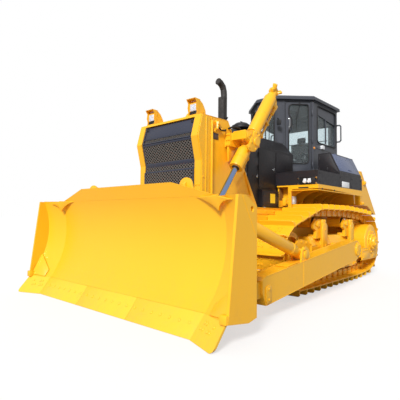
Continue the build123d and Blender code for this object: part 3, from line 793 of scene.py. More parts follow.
# ---- blade ------------------------------------------------------------------------------------
EDGE_TOP, EDGE_TIP, EDGE_THICK = (4.94, 0.211), (5.106, 0.004), 0.032
FOLD, FOLD_TURN = (4.85, 1.475), radians(10.85)      # plane that the left wing is mirrored in
FACE_CENTRE, FACE_RADIUS = (5.7176, 0.8864), 1.03    # the mouldboard's arc


def face_x(z):
    """x of the mouldboard's face at height z."""
    return FACE_CENTRE[0] - (FACE_RADIUS ** 2 - (z - FACE_CENTRE[1]) ** 2) ** 0.5


def fold_y(x):
    """y of the left wing's fold at x."""
    return FOLD[1] - (x - FOLD[0]) * sin(FOLD_TURN) / cos(FOLD_TURN)


def on_wing(part):
    """Mirrors a piece from the middle of the blade to the left wing."""
    normal, here = Vector((sin(FOLD_TURN), cos(FOLD_TURN), 0)), place((*FOLD, 0))
    return moved(part, Matrix.Translation(here) @ Matrix.Scale(-1, 4, normal) @ Matrix.Translation(-here))


def wing_point(x, y, z):
    """Where on_wing takes a point."""
    normal = Vector((sin(FOLD_TURN), cos(FOLD_TURN), 0))
    point = Vector((x, y, z))
    return point - 2 * (point - Vector((*FOLD, 0))).dot(Vector((normal.x, normal.y, 0))) * normal


def edge_point(down, y):
    """A point of the cutting edge's face, down from its top."""
    (x0, z0), (x1, z1) = EDGE_TOP, EDGE_TIP
    span = hypot(x1 - x0, z1 - z0)
    return (x0 + (x1 - x0) * down / span, y, z0 + (z1 - z0) * down / span)


EDGE_OUT = (0.7803, 0, 0.6257)      # direction out of that face


class DOZER_OT_blade_edge(Piece, bpy.types.Operator):
    """Three-piece cutting edge with plough bolts, and the end bits' bolts"""
    bl_idname, bl_label = "dozer.blade_edge", "Cutting edge"

    def make(self, sizes):
        section = [EDGE_TOP, EDGE_TIP, (EDGE_TIP[0] - EDGE_THICK, EDGE_TIP[1]),
                   (EDGE_TOP[0] - EDGE_THICK, EDGE_TOP[1] - 0.001)]
        middle = plate(section, (-0.486, 0.486), edge=0.004)
        outer = plate(section, (0.49, 1.6))
        with editing(outer):
            normal = (sin(FOLD_TURN), cos(FOLD_TURN), 0)
            bpy.ops.mesh.bisect(plane_co=place((*FOLD, 0)), plane_no=normal, use_fill=True, clear_outer=True)
        edge = joined([middle, both_sides(soften(outer, 0.004))])
        done(edge, "cutting_edge_plates", "edges", "blade")
        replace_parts(edge, "cutting_edge")
        heads = [edge_point(0.115, (k - 10) * 0.1335) for k in range(21)]
        done(bolts(heads, EDGE_OUT, 0.017, 0.006, 14), "edge_bolts", "edges", "blade")
        rows = ((0.07, (0.075, 0.115, 0.235)), (0.13, (0.06, 0.1, 0.185, 0.225)))
        points = [edge_point(down, FOLD[1] - 0.04 - out) for down, outs in rows for out in outs]
        bits = both_sides(on_wing(bolts(points, EDGE_OUT, 0.017, 0.009, 12)))
        done(bits, "end_bit_bolts", "edges", "blade")


class DOZER_OT_blade_trim(Piece, bpy.types.Operator):
    """Corner gussets, wear plates, end lugs and welds of the blade"""
    bl_idname, bl_label = "dozer.blade_trim", "Blade trim"

    def make(self, sizes):
        parts = [self.gusset(), self.wear_plate(), self.end_lug(), self.end_crease()]
        pair(parts, "blade_trim", body="blade")

    def gusset(self):
        """Bent plate across each upper corner, with hollow edges."""
        top, foot = Vector((4.838, fold_y(4.838), 1.288)), Vector((4.79, fold_y(4.79), 1.14))
        inner = Vector((face_x(1.28) + 0.004, 1.165, 1.282))
        outer = Vector(wing_point(face_x(1.245) + 0.01, 1.285, 1.245))
        halves = []
        for tip, pull in ((inner, 0.4), (outer, 0.62)):
            hollow = (tip + foot) / 2 * (1 - pull) + top * pull
            curve = [(1 - t) ** 2 * tip + 2 * t * (1 - t) * hollow + t * t * foot for t in (0.2, 0.4, 0.6, 0.8, 0.95)]
            away = (tip - top).cross(foot - top).normalized() * 0.022
            if away.x > 0:
                away = -away
            halves.append(slab([top, tip, *curve, foot], away, 0.004))
        return halves

    def wear_plate(self):
        """Three-cornered plate low on the wing."""
        rows = [(1.14, 0.52), (1.375, 0.3), (1.355, 0.215), (1.11, 0.235)]
        points = [wing_point(face_x(z) + 0.004, y, z) for y, z in rows]
        return slab(points, (0.01, -0.004, 0.006), 0.003)

    def end_lug(self):
        """Block at the end bit's upper outer corner."""
        return box((5.04, 1.756, 0.2), (5.108, 1.834, 0.282), 0.01)

    def end_crease(self):
        """Weld along the seam of the end plate's rear corner."""
        return tube([(4.888, 1.8365, 1.276), (4.688, 1.8365, 0.93)], 0.0035)


# ---- nose and hood ---------------------------------------------------------------------------
GRILLE_SILL, GRILLE_FOOT, GRILLE_KNEE, GRILLE_TOP = (4.028, 1.702), (4.028, 1.802), (4.1, 2.1), (4.03, 2.35)
MESH_WIDTH, STRAND_TURN = 0.95, 40      # strand turn in degrees from the mesh's length
LAMPS_Y = (-0.41, 0.41)


def on_grille(part, foot, top):
    """Lays a flat part on the grille's face between two (x, z) points."""
    return set_in(part, (foot[0], 0, foot[1]), LEFT, (top[0] - foot[0], 0, top[1] - foot[1]))


def wire_mesh(width, height, pitch=0.052, wire=0.0095):
    """Diamond mesh that fills a rectangle from (-width / 2, 0) to (width / 2, height)."""
    reach, count = width / 2 + height, int((width + 2 * height) / pitch)
    halves = []
    for side in (-1, 1):
        strand = box((-reach, -wire / 2, 0), (reach, wire / 2, wire))
        start = place((-pitch * count / 2, height / 2, 0.0015 * (side + 1)))
        strand = moved(strand, Matrix.Translation(start) @ Matrix.Rotation(side * radians(STRAND_TURN), 4, "Z")
                       @ Matrix.Translation(-place((0, 0, 0))))
        halves.append(row(strand, count, (pitch, 0, 0)))
    whole = trimmed(joined(halves), -width / 2, width / 2, 0)
    return trimmed(whole, 0, height, 1)


class DOZER_OT_nose(Piece, bpy.types.Operator):
    """Grille mesh, its frame, blank header plate, lamps and fittings"""
    bl_idname, bl_label = "dozer.nose", "Nose"

    def make(self, sizes):
        meshes = [on_grille(wire_mesh(MESH_WIDTH, height), foot, top) for height, foot, top in (
            (0.3, GRILLE_FOOT, GRILLE_KNEE), (0.1, GRILLE_SILL, GRILLE_FOOT), (0.38, (4.052, 1.31), (4.052, 1.69)))]
        slot = on_grille(wire_mesh(0.88, 0.045, 0.026, 0.0045), self.on_header(0.012), GRILLE_TOP)
        done([meshes, slot], "grille_mesh", "wire", smooth=0)
        # Painted shade: near-black sheets laid on the grille's face, behind the wire mesh, stand for the shade inside
        # the nose.
        mesh_shades = [on_grille(box((-wide, low, 0), (wide, high, 0.0015)), foot, top) for wide, low, high, foot, top in (
            (0.47, 0, 0.3, GRILLE_FOOT, GRILLE_KNEE), (0.47, 0, 0.098, GRILLE_SILL, GRILLE_FOOT),
            (0.47, 0, 0.39, (4.0505, 1.305), (4.0505, 1.695)), (0.46, 0.01, 0.06, GRILLE_KNEE, GRILLE_TOP))]
        done(mesh_shades, "grille_painted_shade", "dark", smooth=0)
        done([self.frame(), self.header()], "grille_frame", "grille")
        done(bolts([(4.044, y, 2.312) for y in (-0.44, 0.44)], (0.25, 0, 0.07), 0.024, 0.014, 12),
             "header_bolts", "rubber", slot="grille_blue_black")
        done(self.lamps(), "headlight_cases")
        done([self.lens(y) for y in LAMPS_Y], "headlight_lenses", "lens")
        done([box((3.985, y - 0.062, 2.408), (4.009, y + 0.062, 2.452), 0.003) for y in LAMPS_Y],
             "headlight_rims", "rubber")
        done(self.label_plate(), "nose_plate", "grille", slot="panel_black")
        done(self.fittings(), "nose_fittings")
        pair(tube([(3.765, 0.632, 2.262), (3.705, 0.64, 2.225), (3.62, 0.632, 2.232),
                              (3.56, 0.596, 2.262)], 0.011, 0.02), "nose_hoses", "rubber")
        done(self.trim(), "nose_trim")

    def on_header(self, up):
        """A point of the header's face, up from the knee."""
        (x0, z0), (x1, z1) = GRILLE_KNEE, GRILLE_TOP
        run = hypot(x1 - x0, z1 - z0)
        return x0 + (x1 - x0) * up / run, z0 + (z1 - z0) * up / run

    def frame(self):
        """Borders round the mesh and the bar across its middle."""
        parts = []
        for foot, top in ((GRILLE_FOOT, GRILLE_KNEE), (GRILLE_SILL, GRILLE_FOOT), (GRILLE_KNEE, GRILLE_TOP),
                          ((4.0505, 1.29), (4.0505, 1.705))):
            rise = hypot(top[0] - foot[0], top[1] - foot[1])
            for side in (-1, 1):
                strip = sorted((side * 0.462, side * 0.483))
                parts.append(on_grille(box((strip[0], 0, 0), (strip[1], rise, 0.014)), foot, top))
        parts.append(on_grille(box((-0.462, -0.03, 0), (0.462, 0.03, 0.018), 0.004), GRILLE_FOOT, GRILLE_KNEE))
        parts.append(box((4.028, -0.483, 1.692), (4.0545, 0.483, 1.712), 0.002))
        parts.append(on_grille(box((-0.462, 0.276, 0), (0.462, 0.302, 0.014), 0.003), GRILLE_FOOT, GRILLE_KNEE))
        return parts

    def header(self):
        """Blank plate over the slot, and the slot's lips."""
        face = box((-0.455, 0.075, 0), (0.455, 0.245, 0.008), 0.003)
        lip = box((-0.462, -0.002, 0), (0.462, 0.012, 0.012), 0.002)
        lip_top = box((-0.462, 0.058, 0), (0.462, 0.072, 0.012), 0.002)
        return on_grille([face, lip, lip_top], GRILLE_KNEE, GRILLE_TOP)

    def lamps(self):
        """Folded visors round the two headlights."""
        parts = []
        for y in LAMPS_Y:
            for side in (-1, 1):
                edge = y + side * 0.072
                cheek = [(3.985, 2.4), (4.028, 2.398), (4.018, 2.44), (4.034, 2.5), (4.024, 2.56),
                         (4.056, 2.604), (3.965, 2.606)]
                parts.append(plate(cheek, sorted((edge, edge + side * 0.006)), edge=0.001, rows=1))
            parts.append(slab([(3.955, y - 0.078, 2.602), (4.06, y - 0.078, 2.606), (4.06, y + 0.078, 2.606),
                               (3.955, y + 0.078, 2.602)], (0, 0, 0.006), 0.002))
            parts.append(box((3.985, y - 0.078, 2.396), (4.03, y + 0.078, 2.404), 0.002))
            parts.append(bolt((3.9, y + 0.0755, 2.45), LEFT, 0.01))
        return parts

    def lens(self, y):
        """Ribbed lamp glass."""
        glass = box((3.998, y - 0.052, 2.455), (4.016, y + 0.052, 2.548), 0.006)
        bars = row(box((4.014, y - 0.046, 2.466), (4.02, y + 0.046, 2.47), 0.001), 5, (0, 0, 0.018))
        return [glass, bars]

    def label_plate(self):
        """Blank riveted plate on the left side."""
        base = box((3.715, 0.59, 2.1), (3.858, 0.598, 2.182), 0.002)
        face = box((3.724, 0.597, 2.108), (3.849, 0.6, 2.174), 0.001)
        return [base, face, bolts([(x, 0.598, z) for x in (3.721, 3.852) for z in (2.106, 2.176)], LEFT, 0.004)]

    def fittings(self):
        """Pipe elbow, its clamp and the lug above the plate, on both sides."""
        elbow = tube([(3.79, 0.604, 2.212), (3.79, 0.64, 2.235), (3.782, 0.64, 2.3), (3.77, 0.6, 2.335)],
                     0.02, 0.03)
        nut = turned([(0, 0.027), (0.03, 0.027), (0.03, 0.022)], (3.783, 0.64, 2.288), (-0.1, 0, 1), 6)
        collar = disc(0.031, 0.018, (3.79, 0.592, 2.208), (0, 1, 0.4), 20)
        lugs = [box((3.7, 0.59, 2.292), (3.73, 0.626, 2.334), 0.006),
                box((3.842, 0.59, 2.27), (3.862, 0.618, 2.3), 0.005),
                bar((3.712, 0.59, 2.262), (3.7, 0.648, 2.228), 0.016, 12, 0.002)]
        return [both_sides([elbow, nut, collar, *lugs])]

    def trim(self):
        """Weld beads, bolts and lifting eyes of the guard."""
        weld = tube([(3.8765, 0.603, 0.66), (3.8765, 0.603, 2.33)], 0.004)
        seam = tube([(3.51, 0.5905, 2.396), (3.98, 0.5905, 2.388)], 0.004)
        spots = [(4.02, 0.602, 0.75 + 0.28 * i) for i in range(4)]
        strips = [box((3.858, 0.6, 0.66), (3.874, 0.628, 2.335), 0.003),
                  box((3.962, 0.6, 0.66), (3.974, 0.612, 2.36), 0.003)]
        sides = [weld, seam, strips, bolts(spots, LEFT, 0.013)]
        posts = bolts([(4.05, y, z) for y in (0.515, 0.565) for z in (0.68, 0.95, 1.22, 1.49)], FORE, 0.013)
        bumper = [box((4.049, -0.47, z), (4.056, 0.47, z + 0.004)) for z in (0.92, 1.32)]
        eye = plate([(3.6, 2.398), (3.72, 2.396), (3.7, 2.455), (3.66, 2.47), (3.62, 2.455)], (0.3, 0.322),
                    edge=0.004)
        eye = cut(eye, bar((3.66, 0.28, 2.432), (3.66, 0.34, 2.432), 0.018, 20))
        cap = turned([(0, 0.075), (0.02, 0.075), (0.035, 0.062), (0.04, 0.05)], (3.8, 0, 2.392), UP, 32)
        return [both_sides([*sides, posts, eye]), *bumper, cap]


class DOZER_OT_hood(Piece, bpy.types.Operator):
    """Seams, latches and bolts of the engine's panels, exhaust outlet and intake"""
    bl_idname, bl_label = "dozer.hood", "Hood"

    def make(self, sizes):
        done(self.side_doors(sizes), "side_door_trim", "panels")
        done(self.latches(), "side_door_latches", "steel")
        done(self.top(), "hood_trim", "panels")
        done(self.label(), "side_label", "sign")
        done(self.exhaust(), "exhaust_trim", "iron")
        done(self.intake(), "intake_trim", "rubber")

    def side_doors(self, sizes):
        """Raised door leaves, their hinges and bolt heads."""
        doors = [box((x0, 0.5595, z0), (x1, 0.5655, 2.135), 0.003) for x0, x1, z0 in (
            (2.235, 2.7, 1.535), (2.725, 2.99, 1.262), (3.015, 3.285, 1.262), (1.665, 2.195, 1.825))]
        lid = plate([(2.222, 1.262), (2.68, 1.262), (2.68, 1.44), (2.64, 1.488), (2.262, 1.488), (2.222, 1.44)],
                    (0.6195, 0.6255), edge=0.003)
        strip = box((2.205, 0.56, 1.506), (2.712, 0.572, 1.522), 0.003)
        hinge = row(bar((2.712, 0.572, 1.6), (2.712, 0.572, 1.68), 0.009, 12), 3, (0, 0, 0.2))
        heads = bolts([(x, 0.5655, z) for x in (2.86, 3.15) for z in (1.29, 1.7, 2.11)], LEFT, sizes.bolt * 0.8)
        corners = bolts([(x, 0.6255, z) for x in (2.245, 2.655) for z in (1.285, 1.42)], LEFT, sizes.bolt * 0.7)
        return both_sides([doors, lid, strip, hinge, heads, corners])

    def latches(self):
        """Round locks with their small handles."""
        parts = []
        for x, z in ((2.275, 1.84), (2.755, 1.7), (3.045, 1.7)):
            parts.append(turned([(0, 0.02), (0.005, 0.02), (0.006, 0.014), (0.008, 0.01)], (x, 0.565, z), LEFT, 24))
            parts.append(box((x - 0.005, 0.571, z - 0.012), (x + 0.005, 0.579, z + 0.03), 0.003))
        return both_sides(parts)

    def top(self):
        """Raised lid, stiffening beads and edge bolts of the hood."""
        lid = box((1.7, -0.33, 2.379), (2.3, 0.33, 2.389), 0.004)
        front = box((3.1, -0.33, 2.379), (3.44, 0.33, 2.389), 0.004)
        beads = row(box((2.55, -0.3, 2.379), (2.58, 0.3, 2.392), 0.005), 4, (0.055, 0, 0))
        lines = [box((x, -0.36, 2.378), (x + 0.006, 0.36, 2.383)) for x in (2.34, 3.06)]
        flange = turned([(0, 0.092), (0.012, 0.092), (0.014, 0.07), (0.03, 0.068)], (2.93, 0.06, 2.38), UP, 32)
        heads = bolts([(x, y, 2.389) for x in (1.73, 2.0, 2.27, 3.13, 3.41) for y in (-0.3, 0.3)], UP, 0.011)
        return [lid, front, beads, lines, flange, heads]

    def label(self):
        """Blank yellow plate with a raised edge."""
        face = box((2.335, 0.6254, 1.305), (2.475, 0.6268, 1.455), 0.0006, 1)
        outline = rounded_corners((2.337, 1.307), (2.473, 1.453), 0.01)
        edge = tube([(x, 0.6268, z) for x, z in outline + outline[:2]], 0.0014, around=2)
        return [face, edge]

    def exhaust(self):
        """Rounded bent pipe over the stack's many-sided core, clamp, and shield's folded edges."""
        x, y, top = 2.93, 0.06, 3.06
        run = [(x, y, 2.45), (x, y, top - 0.02), (x + 0.03, y, top + 0.068), (x + 0.092, y, top + 0.112),
               (x + 0.149, y, top + 0.126)]
        pipe = tube(run, 0.0485, 0.05, 6, 8)
        lip = turned([(0, 0.0505), (0.004, 0.053), (0.014, 0.053), (0.018, 0.0505)],
                     (x + 0.132, y, top + 0.122), (0.059, 0, 0.014), 32)
        clamp = disc(0.056, 0.024, (x, y, 2.62), UP, 28)
        ears = box((x - 0.01, y + 0.05, 2.622), (x + 0.012, y + 0.078, 2.642), 0.003)
        folds = [box((2.972, y + s * 0.052 - 0.003, 2.43), (3.006, y + s * 0.052 + 0.003, 2.962), 0.002)
                 for s in (-1, 1)]
        face = box((3.0035, y - 0.046, 2.5), (3.0075, y + 0.046, 2.94), 0.002)
        heads = bolts([(3.0075, y + s * 0.034, z) for s in (-1, 1) for z in (2.47, 2.72, 2.925)], FORE, 0.008)
        bore = disc(0.04, 0.003, (x + 0.1495, y, top + 0.1265), (0.059, 0, 0.014), 28)
        return [pipe, lip, clamp, ears, *folds, face, heads, bore]

    def intake(self):
        """Neck, band, knob and wing nut of the mushroom cap."""
        neck = turned([(0, 0.076), (0.015, 0.076), (0.015, 0.0725), (0.03, 0.0725)], (2.43, 0.04, 2.44), UP, 32)
        band = turned([(0, 0.1605), (0.016, 0.1625), (0.022, 0.1605)], (2.43, 0.04, 2.585), UP, 40)
        knob = turned([(0, 0.03), (0.01, 0.03), (0.014, 0.012), (0.034, 0.01)], (2.43, 0.04, 2.648), UP, 20)
        wing = box((2.395, 0.036, 2.67), (2.465, 0.044, 2.684), 0.003)
        return [neck, band, knob, wing]


# ---- lift cylinders --------------------------------------------------------------------------
LIFT_TOP, LIFT_EYE, LIFT_Y = (3.33, 2.09), (4.4, 0.68), 0.8
LIFT_WAY = Vector((LIFT_EYE[0] - LIFT_TOP[0], 0, LIFT_EYE[1] - LIFT_TOP[1])).normalized()
LIFT_SIDE = Vector((-LIFT_WAY.z, 0, LIFT_WAY.x))


def on_lift(part):
    """Lays a part on the left cylinder: x square to it and forward, y down along it, z to the left."""
    return set_in(part, (LIFT_TOP[0], LIFT_Y, LIFT_TOP[1]), LIFT_SIDE, LIFT_WAY)


class DOZER_OT_lift(Piece, bpy.types.Operator):
    """Caps, ports, steel tubes, glands and yoke bolts of the lift cylinders"""
    bl_idname, bl_label = "dozer.lift", "Lift cylinders"

    def make(self, sizes):
        each_side(lambda: on_lift(self.barrel_trim()), "barrel_trim", "machine", "barrel")
        each_side(lambda: on_lift(self.wiper()), "rod_wiper", "rubber", "barrel")
        each_side(lambda: on_lift(self.rod_eye()), "rod_eye", "machine", "rod")
        pair(self.yoke(), "yoke_trim")
        pair(self.hoses(), "yoke_lines", "rubber")

    def bored(self, part, start, end, radius=0.0655, sides=40):
        """The part with a round hole along the cylinder between two distances down it."""
        return cut(part, bar((0, start, 0), (0, end, 0), radius, sides))

    def barrel_trim(self):
        """Bolted head, ports, the tubes behind the barrel, straps, bands and gland."""
        down = LEFT
        cap = turned([(0, 0.07), (0.012, 0.091), (0.735, 0.091), (0.75, 0.086), (0.756, 0.067)], (0, -0.945, 0),
                     down, 40)
        cap = self.bored(cap, -0.86, -0.05)
        head = turned([(0, 0.045), (0.01, 0.06), (0.05, 0.064), (0.062, 0.07), (0.12, 0.072)], (0, -1.062, 0), down,
                      24)
        crown = ring_of((0, -0.944, 0), RIGHT, 0.06, 8, 0.013)
        block = box((-0.066, -1.145, -0.056), (0.062, -1.055, 0.056), 0.018)
        knobs = [bar(start, end, radius, sides, 0.004) for start, end, radius, sides in (
            ((0.02, -1.025, 0.01), (0.095, -1.05, 0.045), 0.03, 12),
            ((-0.02, -1.01, -0.01), (-0.1, -1.062, -0.03), 0.032, 12),
            ((0.014, -1.12, 0), (0.076, -1.19, 0.02), 0.028, 6),
            ((-0.036, -1.12, 0.012), (-0.082, -1.182, 0.046), 0.026, 6),
            ((0.03, -1.08, 0.04), (0.1, -1.12, 0.082), 0.024, 6),
            ((-0.04, -1.09, 0.05), (-0.06, -1.125, 0.1), 0.022, 6))]
        port = box((-0.19, -0.965, -0.034), (-0.08, -0.885, 0.034), 0.008)
        elbow = tube([(-0.05, -1.035, 0), (-0.125, -0.985, 0), (-0.168, -0.9, 0), (-0.168, -0.82, 0)], 0.03, 0.03)
        long_tube = tube([(-0.168, -0.85, 0), (-0.168, -0.305, 0), (-0.135, -0.24, 0), (-0.086, -0.215, 0)],
                         0.0185, 0.04)
        nuts = [disc(radius, high, (side, s, 0), down, 6) for radius, high, side, spots in (
            (0.03, 0.035, -0.168, (-0.81, -0.33)), (0.025, 0.03, -0.122, (0.165, 0.31))) for s in spots]
        short_tube = tube([(-0.082, 0.118, 0), (-0.122, 0.15, 0), (-0.122, 0.345, 0), (-0.085, 0.385, 0)],
                          0.016, 0.03)
        gland_port = box((-0.118, 0.362, -0.026), (-0.08, 0.415, 0.026), 0.006)
        straps = [box((-0.19, s - 0.016, -0.028), (-0.08, s + 0.016, 0.028), 0.005) for s in (-0.56, -0.3)]
        screws = [bolt((-0.19, s, 0), BACK, 0.011) for s in (-0.56, -0.3)]
        gland = turned([(0, 0.074), (0.015, 0.09), (0.302, 0.09), (0.317, 0.086), (0.319, 0.06), (0.319, 0.05)],
                       (0, 0.139, 0), down, 40)
        lip = disc(0.0925, 0.012, (0, 0.3, 0), down, 40)
        gland, lip = (self.bored(part, 0.05, 0.5, 0.0405, 28) for part in (gland, lip))
        ring_bolts = ring_of((0, 0.452, 0), down, 0.064, 8, 0.009)
        bands = [turned([(0, r), (0.003, r + 0.003), (0.018, r + 0.003), (0.021, r)], (0, s, 0), down, 36)
                 for s, r in ((-0.575, 0.0915), (0.108, 0.0675))]
        bands = [self.bored(band, -0.7, 0.2) for band in bands]
        return [cap, head, crown, block, knobs, port, elbow, long_tube, nuts, short_tube, gland_port,
                straps, screws, gland, lip, ring_bolts, bands]

    def wiper(self):
        """Rubber ring where the rod leaves the gland."""
        ring = turned([(0, 0.052), (0.008, 0.05), (0.012, 0.044)], (0, 0.456, 0), LEFT, 32)
        return self.bored(ring, 0.44, 0.49, 0.0385, 28)

    def rod_eye(self):
        """Collar, round eye and grease nipple at the rod's lower end."""
        reach = hypot(LIFT_EYE[0] - LIFT_TOP[0], LIFT_EYE[1] - LIFT_TOP[1])
        collar = turned([(0, 0.039), (0.03, 0.052), (0.062, 0.054)], (0, reach - 0.105, 0), LEFT, 28)
        eye = turned([(0, 0.056), (0.006, 0.0615), (0.096, 0.0615), (0.102, 0.056)], (0, reach, -0.051), UP, 32)
        nipple = turned([(0, 0.008), (0.01, 0.008), (0.014, 0.004), (0.02, 0.004)], (0.06, reach, 0), FORE, 8)
        return [collar, eye, nipple]

    def yoke(self):
        """Bearing caps, bolts and stiffeners of the fork."""
        x, z = LIFT_TOP
        y = LIFT_Y + 0.118
        boss = turned([(0, 0.066), (0.014, 0.066), (0.02, 0.058), (0.02, 0.04), (0.026, 0.034)], (x, y - 0.001, z),
                      LEFT, 32)
        inner = disc(0.06, 0.012, (x, LIFT_Y - 0.117, z), RIGHT, 32)
        rim = [(x + 0.05, z + 0.128), (x + 0.2, z + 0.106), (x + 0.2, z + 0.032), (x + 0.075, z - 0.045)]
        rib = plate(rim, (y - 0.001, y + 0.012), edge=0.004)
        lugs = [box((x - 0.066, y - 0.04, z + 0.066), (x - 0.01, y + 0.016, z + 0.106), 0.008),
                box((x - 0.092, y - 0.036, z - 0.06), (x - 0.07, y + 0.01, z - 0.01), 0.006),
                box((x + 0.155, LIFT_Y - 0.1, z + 0.118), (x + 0.205, LIFT_Y + 0.1, z + 0.138), 0.006)]
        heads = bolts([(x - 0.045, y + 0.0155, z + 0.086), (x - 0.025, y, z - 0.066), (x + 0.045, y, z + 0.095),
                       (x + 0.12, y + 0.012, z + 0.085), (x + 0.16, y + 0.012, z + 0.06)], LEFT, 0.015)
        nose = bolts([(x + 0.241, v, z + h) for v in (0.625, 0.665) for h in (-0.04, 0.03, 0.1)], FORE, 0.016)
        cover = turned([(0, 0.05), (0.01, 0.05), (0.014, 0.04)], (x, LIFT_Y + 0.137, z), LEFT, 28)
        web = slab([(x + 0.075, 0.62, z - 0.06), (x + 0.235, 0.62, z - 0.06), (x + 0.2, 0.6, z - 0.26),
                    (x + 0.1, 0.6, z - 0.2)], (0, 0.03, 0), 0.004)
        saddle = self.saddle(y)
        return [boss, inner, rib, *lugs, heads, nose, cover, web, saddle]

    def saddle(self, y):
        """Stepped bearing plate that follows the barrel on the fork's outer side."""
        outline = [(0.06, -0.15), (0.105, -0.12), (0.12, -0.06), (0.105, 0), (0.118, 0.06), (0.1, 0.12),
                   (0.13, 0.2), (0.06, 0.215), (-0.01, 0.175), (-0.06, 0.12), (-0.075, 0.04), (-0.07, -0.06),
                   (-0.04, -0.12), (0.01, -0.15)]
        face = plate(outline, (y - LIFT_Y + 0.0005, y - LIFT_Y + 0.022), "z", edge=0.006)
        boss = turned([(0, 0.062), (0.012, 0.062), (0.018, 0.054)], (0, 0, y - LIFT_Y + 0.021), UP, 32)
        spots = (0.075, -0.1), (0.08, 0.085), (-0.04, 0.095), (0.01, -0.115), (0.085, 0.18)
        heads = bolts([(a, b, y - LIFT_Y + 0.022) for a, b in spots], UP, 0.014)
        return on_lift([face, boss, heads])

    def hoses(self):
        """Steel lines from the nose to the ports by the trunnion."""
        x, z = LIFT_TOP
        runs = [[(x + 0.16, 0.592, z + 0.2), (x + 0.16, 0.66, z + 0.215), (x + 0.03, 0.672, z + 0.225),
                 (x - 0.06, 0.672, z + 0.14), (x - 0.1, 0.672, z - 0.02)],
                [(x + 0.02, 0.592, z - 0.16), (x + 0.02, 0.65, z - 0.15), (x - 0.06, 0.672, z - 0.1),
                 (x - 0.13, 0.672, z - 0.02)]]
        return [tube(run, 0.014, 0.03) for run in runs]


# ---- cab -------------------------------------------------------------------------------------
CAB_FRONT, CAB_CORNER, CAB_REAR, FLOOR_Z = (1.57, 0.2), (1.1, 0.68), (0.09, 0.7), 1.8
DOOR_ALONG = Vector((CAB_CORNER[0] - CAB_FRONT[0], CAB_CORNER[1] - CAB_FRONT[1], 0)).normalized()


def on_door(part):
    """Lays a part on the left door's plane: x back along it, y up from the floor, z outward."""
    return set_in(part, (*CAB_FRONT, FLOOR_Z), DOOR_ALONG, UP)


def on_side(part):
    """Lays a part on the cab's left wall: x back from the corner, y up from the floor, z outward."""
    wall = (CAB_REAR[0] - CAB_CORNER[0], CAB_REAR[1] - CAB_CORNER[1], 0)
    return set_in(part, (*CAB_CORNER, FLOOR_Z), wall, UP)


DOOR_HOLE = [(0.56, 1.345), (0.28, 1.345), (0.237, 1.325), (0.22, 1.285), (0.22, 1.175), (0.235, 1.135),
             (0.268, 1.095), (0.272, 1.04), (0.272, 0.99), (0.268, 0.945), (0.235, 0.9), (0.22, 0.86),
             (0.22, 0.33), (0.237, 0.282), (0.28, 0.262), (0.525, 0.262), (0.57, 0.282), (0.588, 0.325),
             (0.588, 1.29), (0.58, 1.325)]


class DOZER_OT_doors(Piece, bpy.types.Operator):
    """Seals, handles and hinges of the two doors"""
    bl_idname, bl_label = "dozer.doors", "Doors"

    def make(self, sizes):
        each_side(lambda: on_door([seal(DOOR_HOLE, 0.0125), self.edge_seal()]), "door_seal", "rubber", "door")
        each_side(lambda: on_door(self.handle()), "door_handle", "steel", "door")
        each_side(lambda: on_door(self.panel()), "door_trim", "cab", "door")
        pair(on_door(self.frame()), "door_frame_trim", "cab")

    def edge_seal(self):
        """Thin rubber line near the leaf's edge."""
        outline = rounded_corners((0.162, 0.042), (0.628, 1.383), 0.035)
        return seal(outline, 0.0035)

    def handle(self):
        """Grip on two feet with its lock."""
        grip = tube([(0.232, 0.93, 0.004), (0.232, 0.936, 0.03), (0.232, 1.066, 0.03), (0.232, 1.072, 0.004)],
                    0.0095, 0.012)
        foot = box((0.218, 0.912, 0), (0.247, 0.944, 0.008), 0.004)
        head = box((0.216, 1.052, 0), (0.249, 1.092, 0.008), 0.004)
        lock = turned([(0, 0.011), (0.01, 0.01)], (0.232, 0.895, 0), UP, 20)
        return [grip, foot, head, lock]

    def panel(self):
        """Pressed panel under the window, and the stop beside it."""
        skin = box((0.205, 0.07, -0.001), (0.59, 0.205, 0.004), 0.006)
        stop = box((0.6, 0.7, -0.001), (0.622, 0.735, 0.01), 0.003)
        return [skin, stop]

    def frame(self):
        """Hinges, corner beads and gutter by the door."""
        parts = []
        for low, high in ((0.64, 0.73), (1.14, 1.23), (0.19, 0.28)):
            parts.append(bar((0.65, low, 0.013), (0.65, high, 0.013), 0.011, 16, 0.002))
            parts.append(box((0.652, low + 0.012, -0.001), (0.672, high - 0.012, 0.009), 0.002))
            parts.append(bolts([(0.663, low + 0.028, 0.009), (0.663, high - 0.028, 0.009)], UP, 0.006))
        for u in (0.006, 0.118):
            parts.append(bar((u, 0.02, 0.001), (u, 1.42, 0.001), 0.0065, 12))
        parts.append(box((0, 1.402, -0.001), (0.672, 1.412, 0.014), 0.003))
        return parts


